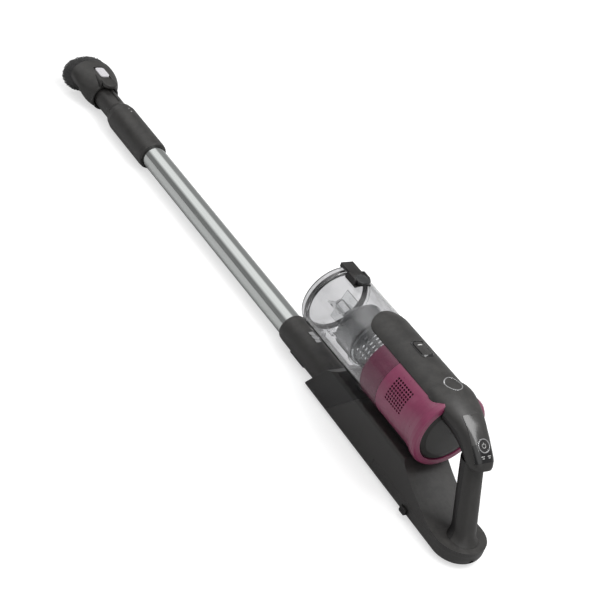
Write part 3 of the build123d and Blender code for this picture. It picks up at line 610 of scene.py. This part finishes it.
def only(obj: bpy.types.Object) -> None:
    """Selects one object alone and makes it active."""
    bpy.ops.object.select_all(action="DESELECT")
    obj.select_set(True)
    bpy.context.view_layer.objects.active = obj


def named(name: str) -> bpy.types.Object:
    """Names the primitive just added and moves its place into its mesh."""
    obj = bpy.context.object
    obj.name = name
    obj.data.name = name
    bpy.ops.object.transform_apply(location=True, rotation=True, scale=True)
    return obj


def apply_modifier(obj: bpy.types.Object, kind: str, **settings: object) -> None:
    """Adds a modifier and applies it.

    Args:
        obj: The piece.
        kind: The modifier's type.
        **settings: Its settings.
    """
    only(obj)
    modifier = obj.modifiers.new(kind.lower(), kind)
    for name, value in settings.items():
        setattr(modifier, name, value)
    bpy.ops.object.modifier_apply(modifier=modifier.name)


def smooth(obj: bpy.types.Object, angle: float = 35.0) -> None:
    """Shades a piece smooth, with sharp edges above an angle in degrees."""
    only(obj)
    bpy.ops.object.shade_smooth_by_angle(angle=radians(angle))


def pick(obj: bpy.types.Object, test: Callable[[bmesh.types.BMFace], bool]) -> None:
    """Selects the faces of the mesh in edit mode that pass a test.

    Args:
        obj: The piece, in edit mode.
        test: Tells whether a face is wanted.
    """
    mesh = bmesh.from_edit_mesh(obj.data)
    for face in mesh.faces:
        face.select_set(test(face))
    bmesh.update_edit_mesh(obj.data)


def move_vertices(obj: bpy.types.Object, place: Callable[[Vector], Vector]) -> None:
    """Moves every vertex of a piece to the place that a rule gives it."""
    for vertex in obj.data.vertices:
        vertex.co = place(vertex.co)
    obj.data.update()


def join_pieces(name: str, pieces: list[bpy.types.Object]) -> bpy.types.Object:
    """Joins pieces into the first one.

    Args:
        name: The name of the joined piece.
        pieces: The pieces.

    Returns:
        The joined piece.
    """
    only(pieces[0])
    for piece in pieces[1:]:
        piece.select_set(True)
    bpy.ops.object.join()
    pieces[0].name = name
    return pieces[0]


def own_copy(obj: bpy.types.Object, place: Matrix) -> bpy.types.Object:
    """Copies a piece with its own mesh and puts the copy's place into it."""
    copy = obj.copy()
    copy.data = obj.data.copy()
    copy.data.transform(place)
    bpy.context.scene.collection.objects.link(copy)
    return copy


def on_face(node: str, origin: Vector, across: Vector, along: Vector, rise: float) -> Lift:
    """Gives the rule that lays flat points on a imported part's face.

    Args:
        node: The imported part.
        origin: A point near its face.
        across: The way of the flat x axis.
        along: The way of the flat y axis.
        rise: How far above the face the points lie, in metres.

    Returns:
        The rule, from flat x and y to a place.
    """
    part = frame["nodes"][node]
    normal = across.cross(along).normalized()

    def lift(x: float, y: float) -> Vector:
        """Casts down on the face from above a flat point."""
        start = origin + across * x + along * y
        hit, place, _, _ = part.ray_cast(start + normal * FACE_REACH, -normal, distance=FACE_DEPTH)
        return (place if hit else start) + normal * rise

    return lift


def rounded_plate(
    name: str,
    size: tuple[float, float],
    corner: float,
    lift: Lift,
    thick: float,
    hole: float = 0.0,
    cells: int = 24,
) -> bpy.types.Object:
    """Plate or frame with round corners that lies on a curved face.

    Args:
        name: The piece's name.
        size: Length and width in metres.
        corner: Corner radius in metres.
        lift: Gives the place on the face for a flat point.
        thick: Thickness in metres.
        hole: Share of the length and width that is open in the middle.
        cells: Divisions along each side.

    Returns:
        The piece.
    """
    bpy.ops.object.select_all(action="DESELECT")
    bpy.ops.mesh.primitive_grid_add(x_subdivisions=cells, y_subdivisions=cells, size=2)
    obj = named(name)
    half_x, half_y = size[0] / 2, size[1] / 2
    if hole:
        bpy.ops.object.mode_set(mode="EDIT")
        pick(obj, lambda face: max(abs(c) for c in face.calc_center_median()) < hole)
        bpy.ops.mesh.delete(type="FACE")
        bpy.ops.object.mode_set(mode="OBJECT")

    def place(flat: Vector) -> Vector:
        """Rounds the square that a point lies on, then lays the point on the face."""
        layer = max(abs(flat.x), abs(flat.y), 1e-6)
        x, y = flat.x / layer * half_x, flat.y / layer * half_y
        over_x, over_y = abs(x) - (half_x - corner), abs(y) - (half_y - corner)
        if over_x > 0 and over_y > 0:
            share = corner / hypot(over_x, over_y)
            x = (half_x - corner + over_x * share) * (1 if x > 0 else -1)
            y = (half_y - corner + over_y * share) * (1 if y > 0 else -1)
        return lift(x * layer, y * layer)

    move_vertices(obj, place)
    only(obj)
    bpy.ops.object.mode_set(mode="EDIT")
    bpy.ops.mesh.select_all(action="SELECT")
    bpy.ops.mesh.normals_make_consistent(inside=False)
    bpy.ops.object.mode_set(mode="OBJECT")
    apply_modifier(obj, "SOLIDIFY", thickness=thick, offset=0.0)
    apply_modifier(
        obj,
        "BEVEL",
        width=min(thick * 0.3, 0.3 * MM),
        segments=2,
        limit_method="ANGLE",
        angle_limit=radians(50),
    )
    smooth(obj, 50)
    return obj


def put(obj: bpy.types.Object, body: str, slot: str, material: bpy.types.Material, *nodes: str) -> None:
    """Finishes a new piece: its material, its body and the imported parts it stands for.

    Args:
        obj: The piece.
        body: The body it rides on.
        slot: The record's material slot; not used.
        material: Its material.
        *nodes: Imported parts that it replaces.
    """
    obj.data.materials.clear()
    obj.data.materials.append(material)
    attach(obj, body)
    if nodes:
        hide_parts(*nodes)
    log.info("built %s on %s", obj.name, body)


# ---- sub-assemblies ----------------------------------------------------------------------


@dataclass
class Wand:
    """Aluminium tube with both couplings, their buttons and contacts.

    Attributes:
        paints: The materials.
        nodes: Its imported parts.
    """

    paints: Paints
    nodes: tuple[str, ...] = (
        "wand_tube",
        "upper_coupling",
        "contact_pins",
        "lower_coupling",
        "contact_strip",
        "coupling_seal",
        "latch_springs",
        "upper_latch_button",
        "lower_latch_button",
    )

    def build(self) -> None:
        """Dresses the wand."""
        self.paints.dress_nodes(self.nodes)


@dataclass
class BrushTool:
    """Dusting brush: hood, carrier, slide button, tab and its dense fringe.

    Attributes:
        paints: The materials.
        nodes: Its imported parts.
        tilt: Slant of the fringe's plane from upright, in degrees.
        length: Length of the bristles.
        splay: How far the outer bristles lean out, in degrees.
        rows: Rings of tufts.
        pitch: Distance between tufts.
        height: Half height of the fringe at its root.
        radii: Radius of a tuft at its root and at its tip.
        tip_inset: Width and rise of the blunt top of a tuft.
        outer_inset: Distance from the fringe's edge to the first ring.
        row_step: Distance between rings of tufts.
        widen: Half width of the fringe as a share of the solid band's.
        sink: How far the root lies behind the band's middle, as a share of its depth.
        root_wall: Thickness of the solid root.
        root_inset: Distance from the fringe's edge to the root.
        root_share: Depth of the root as a share of the bristles' length.
        lean_jitter: Largest random lean of a tuft, in degrees.
        size_jitter: Shortest and longest tuft as a share of the length.
        seed: Seed of the random draws.
        pad_corner: Corner radius of the thumb slide.
        bar_pitch: Distance between the grip bars on the slide.
        bar_width: Width of a grip bar.
        bar_share: Length of a grip bar as a share of the slide's width.
        bar_height: Thickness of a grip bar.
    """

    paints: Paints
    nodes: tuple[str, ...] = ("brush_hood", "bristle_carrier", "tool_release_tab")
    tilt: float = 25.0
    length: float = 23.0 * MM
    splay: float = 18.0
    rows: int = 5
    pitch: float = 1.6 * MM
    height: float = 19.4 * MM
    radii: tuple[float, float] = (0.7 * MM, 0.95 * MM)
    tip_inset: tuple[float, float] = (0.35 * MM, 0.55 * MM)
    outer_inset: float = 0.9 * MM
    row_step: float = 1.2 * MM
    widen: float = 1.08
    sink: float = 0.28
    root_wall: float = 5.2 * MM
    root_inset: float = 1.0 * MM
    root_share: float = 0.8
    lean_jitter: float = 1.5
    size_jitter: tuple[float, float] = (0.97, 1.02)
    seed: int = 4
    pad_corner: float = 4.2 * MM
    bar_pitch: float = 4.0 * MM
    bar_width: float = 1.3 * MM
    bar_share: float = 0.6
    bar_height: float = 0.7 * MM

    def tuft(self) -> bpy.types.Object:
        """Models one tuft of bristles, standing on the origin with its tip along +Z."""
        bpy.ops.object.select_all(action="DESELECT")
        bpy.ops.mesh.primitive_cone_add(
            vertices=6,
            radius1=self.radii[0],
            radius2=self.radii[1],
            depth=self.length,
            end_fill_type="NGON",
            location=(0, 0, self.length / 2),
        )
        obj = named("tuft")
        bpy.ops.object.mode_set(mode="EDIT")
        pick(obj, lambda face: face.normal.z > 0.9)
        bpy.ops.mesh.inset(thickness=self.tip_inset[0], depth=self.tip_inset[1])
        bpy.ops.object.mode_set(mode="OBJECT")
        return obj

    def band(self, origin: Vector, turn: Matrix, half: tuple[float, float], wall: float) -> bpy.types.Object:
        """Models the solid root of the fringe, an oval band under the tips."""
        bpy.ops.object.select_all(action="DESELECT")
        bpy.ops.mesh.primitive_cylinder_add(vertices=96, radius=1.0, depth=1.0, end_fill_type="NGON")
        obj = named("fringe_root")
        bpy.ops.object.mode_set(mode="EDIT")
        pick(obj, lambda face: abs(face.normal.z) > 0.9)
        bpy.ops.mesh.inset(thickness=wall / half[0])
        bpy.ops.mesh.bridge_edge_loops()
        bpy.ops.object.mode_set(mode="OBJECT")
        depth = self.length * self.root_share
        obj.data.transform(Matrix.Diagonal((half[0], half[1], depth, 1)))
        obj.data.transform(Matrix.Translation((0, 0, depth / 2)))
        obj.data.transform(Matrix.Translation(origin) @ turn)
        return obj

    def fringe(self) -> None:
        """Models the dense oval fringe, tuft by tuft, in place of the plain band."""
        low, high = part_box("bristle_ring")
        half_a = high.y * self.widen
        half_b = self.height
        slant = radians(self.tilt)
        normal = Vector((cos(slant), 0, -sin(slant)))
        side = Vector((0, 1, 0))
        upward = normal.cross(side)
        turn = Matrix((side, upward, normal)).transposed().to_4x4()
        centre = (low + high) / 2 - normal * (high.x - low.x) * self.sink
        randoms = random.Random(self.seed)
        base = self.tuft()
        tufts = []
        for row in range(self.rows):
            inset = self.outer_inset + row * self.row_step
            a, b = half_a - inset, half_b - inset
            count = int(2 * pi * sqrt((a * a + b * b) / 2) / self.pitch)
            for i in range(count):
                t = 2 * pi * (i + 0.5 * (row % 2)) / count
                out = Vector((cos(t) / a, sin(t) / b, 0)).normalized()
                jitter = randoms.uniform(-self.lean_jitter, self.lean_jitter)
                lean = radians(self.splay * (1 - row / self.rows) + jitter)
                axis = Vector((-out.y, out.x, 0))
                tip = Matrix.Rotation(lean, 4, axis) @ Matrix.Rotation(randoms.uniform(0, 1), 4, "Z")
                size = Matrix.Diagonal((1, 1, randoms.uniform(*self.size_jitter), 1))
                spot = Matrix.Translation((a * cos(t), b * sin(t), 0))
                tufts.append(own_copy(base, Matrix.Translation(centre) @ turn @ spot @ tip @ size))
        root_half = (half_a - self.root_inset, half_b - self.root_inset)
        root = self.band(centre, turn, root_half, self.root_wall)
        bpy.data.objects.remove(base)
        obj = join_pieces("bristle_fringe", [root, *tufts])
        smooth(obj, 50)
        put(obj, "bristles", "bristle_black", self.paints.by_slot["bristle_black"], "bristle_ring")

    def slide_pad(self) -> None:
        """Models the thumb slide with round corners and three grip bars."""
        low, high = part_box("bristle_slide_button")
        middle = (low + high) / 2
        size = (high.x - low.x, high.y - low.y)
        pad = rounded_plate(
            "slide_pad",
            size,
            self.pad_corner,
            lambda x, y: Vector((middle.x + x, middle.y + y, middle.z)),
            high.z - low.z,
        )
        bars = [
            rounded_plate(
                "slide_bar",
                (self.bar_width, size[1] * self.bar_share),
                0.6 * MM,
                lambda x, y, shift=shift: Vector((middle.x + x + shift, middle.y + y, high.z)),
                self.bar_height,
                cells=8,
            )
            for shift in (-self.bar_pitch, 0.0, self.bar_pitch)
        ]
        put(
            join_pieces("slide_pad", [pad, *bars]),
            "bristles",
            "light_grey",
            self.paints.by_slot["light_grey"],
            "bristle_slide_button",
        )

    def build(self) -> None:
        """Dresses the tool and models its fringe and slide."""
        self.paints.dress_nodes(self.nodes)
        self.fringe()
        self.slide_pad()


@dataclass
class Body:
    """Housing and sleeve over the battery.

    Attributes:
        paints: The materials.
        nodes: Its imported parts.
    """

    paints: Paints
    nodes: tuple[str, ...] = (
        "front_sleeve",
        "main_housing",
        "housing_screws",
        "inlet_duct",
        "duct_seal",
        "circuit_board",
        "motor_cradle",
        "battery_tray",
        "battery_lid",
        "battery_cells",
        "battery_contacts",
        "charge_jack",
        "battery_latch_left",
        "battery_latch_right",
    )

    def build(self) -> None:
        """Dresses the body."""
        self.paints.dress_nodes(self.nodes)


@dataclass
class DustBin:
    """Clear bin with its flap, latch, cyclone and collar.

    Attributes:
        paints: The materials.
        nodes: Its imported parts.
        tip_length: Length of the clear tip over the latch's thumb pad.
        tip_corner: Corner radius of the tip.
        tip_dome: How much the tip falls off with the square of the distance from its middle.
        tip_back: How far the tip reaches past the pad's rear end.
        tip_over: How much wider than the pad the tip is.
        tip_rise: Height of the tip's middle over the pad.
    """

    paints: Paints
    nodes: tuple[str, ...] = (
        "bin_cup",
        "flap_hinge_pin",
        "latch_mount",
        "cyclone_vane",
        "cyclone_cone",
        "debris_cup",
        "shroud_screen",
        "bin_collar",
        "prefilter",
        "bin_flap",
        "flap_seal",
        "flap_latch",
    )
    tip_length: float = 17 * MM
    tip_corner: float = 6.5 * MM
    tip_dome: float = 18.0
    tip_back: float = 0.6 * MM
    tip_over: float = 1.2 * MM
    tip_rise: float = 1.1 * MM

    def latch_tip(self) -> None:
        """Models the clear round tip over the latch's thumb pad."""
        low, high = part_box("flap_latch")
        middle = Vector((low.x + self.tip_length / 2 - self.tip_back, 0, high.z))
        tip = rounded_plate(
            "latch_tip",
            (self.tip_length, high.y - low.y + self.tip_over),
            self.tip_corner,
            lambda x, y: middle + Vector((x, y, self.tip_rise - self.tip_dome * (x * x + y * y))),
            1.8 * MM,
        )
        put(tip, "flap_latch", "smoke_clear", self.paints.by_slot["smoke_clear"])

    def build(self) -> None:
        """Dresses the bin and models the tip of its latch."""
        self.paints.dress_nodes(self.nodes)
        self.latch_tip()


@dataclass
class MotorUnit:
    """Motor in its tinted housing, with filters and fan.

    Attributes:
        paints: The materials.
        nodes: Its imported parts.
    """

    paints: Paints
    nodes: tuple[str, ...] = (
        "motor_housing",
        "rear_cap",
        "exhaust_filter",
        "motor_can",
        "motor_stator",
        "motor_mount",
        "rotor_bearings",
        "fan_shroud",
        "motor_rotor",
        "fan_impeller",
    )

    def build(self) -> None:
        """Dresses the motor unit."""
        self.paints.dress_nodes(self.nodes)


@dataclass
class Handle:
    """Looped handle with its arm, pod, buttons and grip.

    Attributes:
        paints: The materials.
        nodes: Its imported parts.
        slope: Slope of the pod's face, in degrees.
        mark_radius: Radius of the ring of the mark on the power button.
        crown: Height above the arm from which pieces are laid on it.
        legend_rows: Place on the lens and length of each legend bar, in millimetres.
        frame_size: Length and width of the frame round the release button.
    """

    paints: Paints
    nodes: tuple[str, ...] = (
        "handle_outer_shell",
        "handle_inner_shell",
        "saddle_plate",
        "badge_ring",
        "pod_panel",
        "display_lens",
        "power_ring",
        "power_button",
        "bin_release_button",
    )
    slope: float = 38.0
    mark_radius: float = 2.6 * MM
    crown: float = 164.5 * MM
    legend_rows: tuple[Point, ...] = (
        (-4.6, 12.0, 5.0),
        (4.8, 12.0, 4.4),
        (-4.2, 14.2, 3.2),
        (4.4, 14.2, 3.0),
    )
    frame_size: tuple[float, float] = (30 * MM, 19 * MM)

    def pod_axes(self) -> tuple[Vector, Vector, Vector]:
        """Gives the power button's middle and the two axes of the pod's face."""
        low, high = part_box("power_button")
        angle = radians(self.slope)
        along = Vector((-cos(angle), 0, -sin(angle)))
        return (low + high) / 2, Vector((0, 1, 0)), along

    def power_mark(self) -> None:
        """Models the mark on the power button: an open ring with a short bar."""
        middle, across, along = self.pod_axes()
        normal = across.cross(along).normalized()
        lift = on_face("power_button", middle, across, along, 0.05 * MM)
        top = lift(0, 0)
        bpy.ops.object.select_all(action="DESELECT")
        bpy.ops.mesh.primitive_torus_add(
            major_radius=self.mark_radius, minor_radius=0.27 * MM, major_segments=48, minor_segments=8
        )
        ring = named("power_ring_mark")
        bpy.ops.object.mode_set(mode="EDIT")
        pick(ring, lambda face: face.calc_center_median().y > self.mark_radius * 0.84)
        bpy.ops.mesh.delete(type="FACE")
        bpy.ops.mesh.select_all(action="DESELECT")
        bpy.ops.mesh.select_non_manifold()
        bpy.ops.mesh.fill()
        bpy.ops.object.mode_set(mode="OBJECT")
        turn = Matrix((across, -along, normal)).transposed().to_4x4()
        ring.data.transform(Matrix.Translation(top) @ turn @ Matrix.Diagonal((1, 1, 0.5, 1)))
        bar = rounded_plate(
            "power_bar_mark",
            (0.6 * MM, 2.6 * MM),
            0.25 * MM,
            lambda x, y: lift(x, y - self.mark_radius * 0.9),
            0.2 * MM,
            cells=6,
        )
        mark = join_pieces("power_mark", [bar, ring])
        smooth(mark, 50)
        put(mark, "power_button", "light_grey", self.paints.print)

    def legends(self) -> None:
        """Models the two short lit bars on the display lens."""
        middle, across, along = self.pod_axes()
        lift = on_face("display_lens", middle, across, along, 0.08 * MM)
        bars = []
        for x, y, length in self.legend_rows:
            bars.append(
                rounded_plate(
                    "legend_bar",
                    (length * MM, 0.75 * MM),
                    0.3 * MM,
                    lambda u, v, x=x, y=y: lift(u + x * MM, v + y * MM),
                    0.16 * MM,
                    cells=8,
                )
            )
        legend = join_pieces("display_legend", bars)
        put(legend, "main_body", "light_grey", self.paints.print)

    def release_frame(self) -> None:
        """Models the rounded frame round the bin release button, and the button's cap with its light bar."""
        low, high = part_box("bin_release_button")
        middle = Vector(((low.x + high.x) / 2, 0, self.crown))
        along, across = Vector((1, 0, 0)), Vector((0, 1, 0))
        shell = on_face("handle_outer_shell", middle, along, across, 0.1 * MM)
        frame_piece = rounded_plate("release_frame", self.frame_size, 4.5 * MM, shell, 0.7 * MM, hole=0.82)
        put(frame_piece, "main_body", "gloss_black", self.paints.by_slot["gloss_black"])
        top = on_face("bin_release_button", middle, along, across, 0.12 * MM)
        size = (high.x - low.x - 0.8 * MM, high.y - low.y - 0.8 * MM)
        cap = rounded_plate("release_cap", size, 2.5 * MM, top, 0.5 * MM)
        put(cap, "bin_release_button", "charcoal_gloss", self.paints.by_slot["charcoal_gloss"])
        above = Vector((0, 0, 0.3 * MM))
        bar = rounded_plate(
            "release_mark",
            (1.6 * MM, 6.5 * MM),
            0.7 * MM,
            lambda x, y: top(x + 6 * MM, y) + above,
            0.25 * MM,
            cells=10,
        )
        put(bar, "bin_release_button", "light_grey", self.paints.print)

    def build(self) -> None:
        """Dresses the handle and models its fine pieces."""
        self.paints.dress_nodes(self.nodes)
        self.power_mark()
        self.legends()
        self.release_frame()


@dataclass
class Studio:
    """Pale floor, soft lamps and the camera.

    Attributes:
        eye: Where the camera stands.
        right: The way to the right of the view.
        up: The way up in the view.
        back: The way out of the view.
        lens: Focal length in millimetres.
        ceiling: Strength of the light from above.
        walls: Share of it that the left and the right wall give.
        left_edge: Sideways share of a direction where the left wall starts and is full.
        right_edge: The same for the right wall.
        floor_size: Side of the floor in metres.
        floor_drop: How far the floor lies below the machine.
        floor_tones: The floor's two greys.
        floor_glow: Strength of the floor's own light, seen by the camera only.
        aim: The point that the lamps face.
    """

    eye: Point = (-1.477, 1.296, 1.232)
    right: Point = (-0.501, -0.809, 0.307)
    up: Point = (0.604, -0.073, 0.794)
    back: Point = (-0.620, 0.583, 0.525)
    lens: float = 105.3
    ceiling: float = 1.15
    walls: tuple[float, float] = (0.22, 0.32)
    left_edge: tuple[float, float] = (0.50, 0.80)
    right_edge: tuple[float, float] = (-0.25, -0.5)
    floor_size: float = 14.0
    floor_drop: float = 0.5 * MM
    floor_tones: tuple[float, float] = (0.55, 0.57)
    floor_glow: float = 0.6
    aim: Point = (0, 0, 0.05)

    def camera(self) -> None:
        """Sets up the camera."""
        bpy.ops.object.camera_add(location=self.eye)
        camera = bpy.context.object
        camera.name = "product_camera"
        turn = Matrix((self.right, self.up, self.back)).transposed().to_4x4()
        camera.matrix_world = Matrix.Translation(self.eye) @ turn
        camera.data.lens = self.lens
        camera.data.sensor_width = 36.0
        camera.data.clip_start = 0.05
        camera.data.clip_end = 60.0
        bpy.context.scene.camera = camera

    def floor(self) -> None:
        """Lays the pale floor."""
        bpy.ops.object.select_all(action="DESELECT")
        bpy.ops.mesh.primitive_plane_add(size=self.floor_size, location=(0, 0, -self.floor_drop))
        floor = named("studio_floor")
        material, graph, place = start_material("pale_floor")
        dark, pale = ((tone, tone, tone) for tone in self.floor_tones)
        tone = graph.blend(graph.noise(place, 3.0, 2.0), dark, pale)
        seen = graph.add("ShaderNodeLightPath").outputs["Is Camera Ray"]
        shader = graph.add(
            "ShaderNodeBsdfPrincipled",
            None,
            Base_Color=tone,
            Roughness=0.9,
            Specular_IOR_Level=0.1,
            Emission_Color=(1, 1, 1),
            Emission_Strength=graph.math("MULTIPLY", seen, self.floor_glow),
        )
        finish_material(graph, shader.outputs[0])
        floor.data.materials.append(material)
        floor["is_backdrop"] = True

    def lamp(self, name: str, place: Point, size: tuple[float, float], power: float) -> None:
        """Hangs a soft rectangular lamp.

        Args:
            name: The lamp's name.
            place: Where it hangs.
            size: Its width and height in metres.
            power: Its power in watts.
        """
        bpy.ops.object.light_add(type="AREA", location=place)
        lamp = bpy.context.object
        lamp.name = name
        lamp.rotation_euler = (Vector(self.aim) - Vector(place)).to_track_quat("-Z", "Y").to_euler()
        lamp.data.shape = "RECTANGLE"
        lamp.data.size = size[0]
        lamp.data.size_y = size[1]
        lamp.data.energy = power

    def sky(self) -> None:
        """Surrounds the machine with a pale ceiling over darker walls on the left and the right."""
        world = bpy.data.worlds.new("studio_world")
        bpy.context.scene.world = world
        world.use_nodes = True
        graph = Graph(world.node_tree)
        direction = graph.add("ShaderNodeTexCoord").outputs["Generated"]
        way = graph.add("ShaderNodeSeparateXYZ", None, Vector=direction)
        side, rise = way.outputs["Y"], way.outputs["Z"]
        square = graph.math("ADD", graph.math("MULTIPLY", side, side), graph.math("MULTIPLY", rise, rise))
        reach = graph.math("SQRT", square)
        level = graph.math("DIVIDE", side, graph.math("MAXIMUM", reach, 0.001))
        left = graph.spread(level, *self.left_edge, (1.0, self.walls[0]))
        right = graph.spread(level, *self.right_edge, (1.0, self.walls[1]))
        strength = graph.math("MULTIPLY", graph.math("MULTIPLY", left, right), self.ceiling)
        back = graph.add("ShaderNodeBackground", None, Color=(1, 1, 1), Strength=strength)
        graph.feed(graph.add("ShaderNodeOutputWorld").inputs["Surface"], back.outputs[0])

    def build(self) -> None:
        """Sets up floor, lamps and camera."""
        self.camera()
        self.floor()
        self.sky()
        self.lamp("key_softbox", place=(-0.8, -0.6, 2.2), size=(1.6, 1.2), power=32)
        self.lamp("side_softbox", place=(0.2, 2.2, 1.1), size=(1.8, 0.7), power=4)
        bpy.context.scene.view_settings.view_transform = "Standard"


def main() -> None:
    """Builds the looks, sub-assembly by sub-assembly."""
    logging.basicConfig(level=logging.INFO, format="%(name)s: %(message)s")
    Studio().build()
    paints = Paints()
    for part in (Wand, BrushTool, Body, DustBin, MotorUnit, Handle):
        part(paints).build()
        log.info("finished %s", part.__name__)
    boxes = {"cad": cad_box, "visual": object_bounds()}
    {name: [list(corner) for corner in box] for name, box in boxes.items()}


if __name__ == "__main__":
    main()
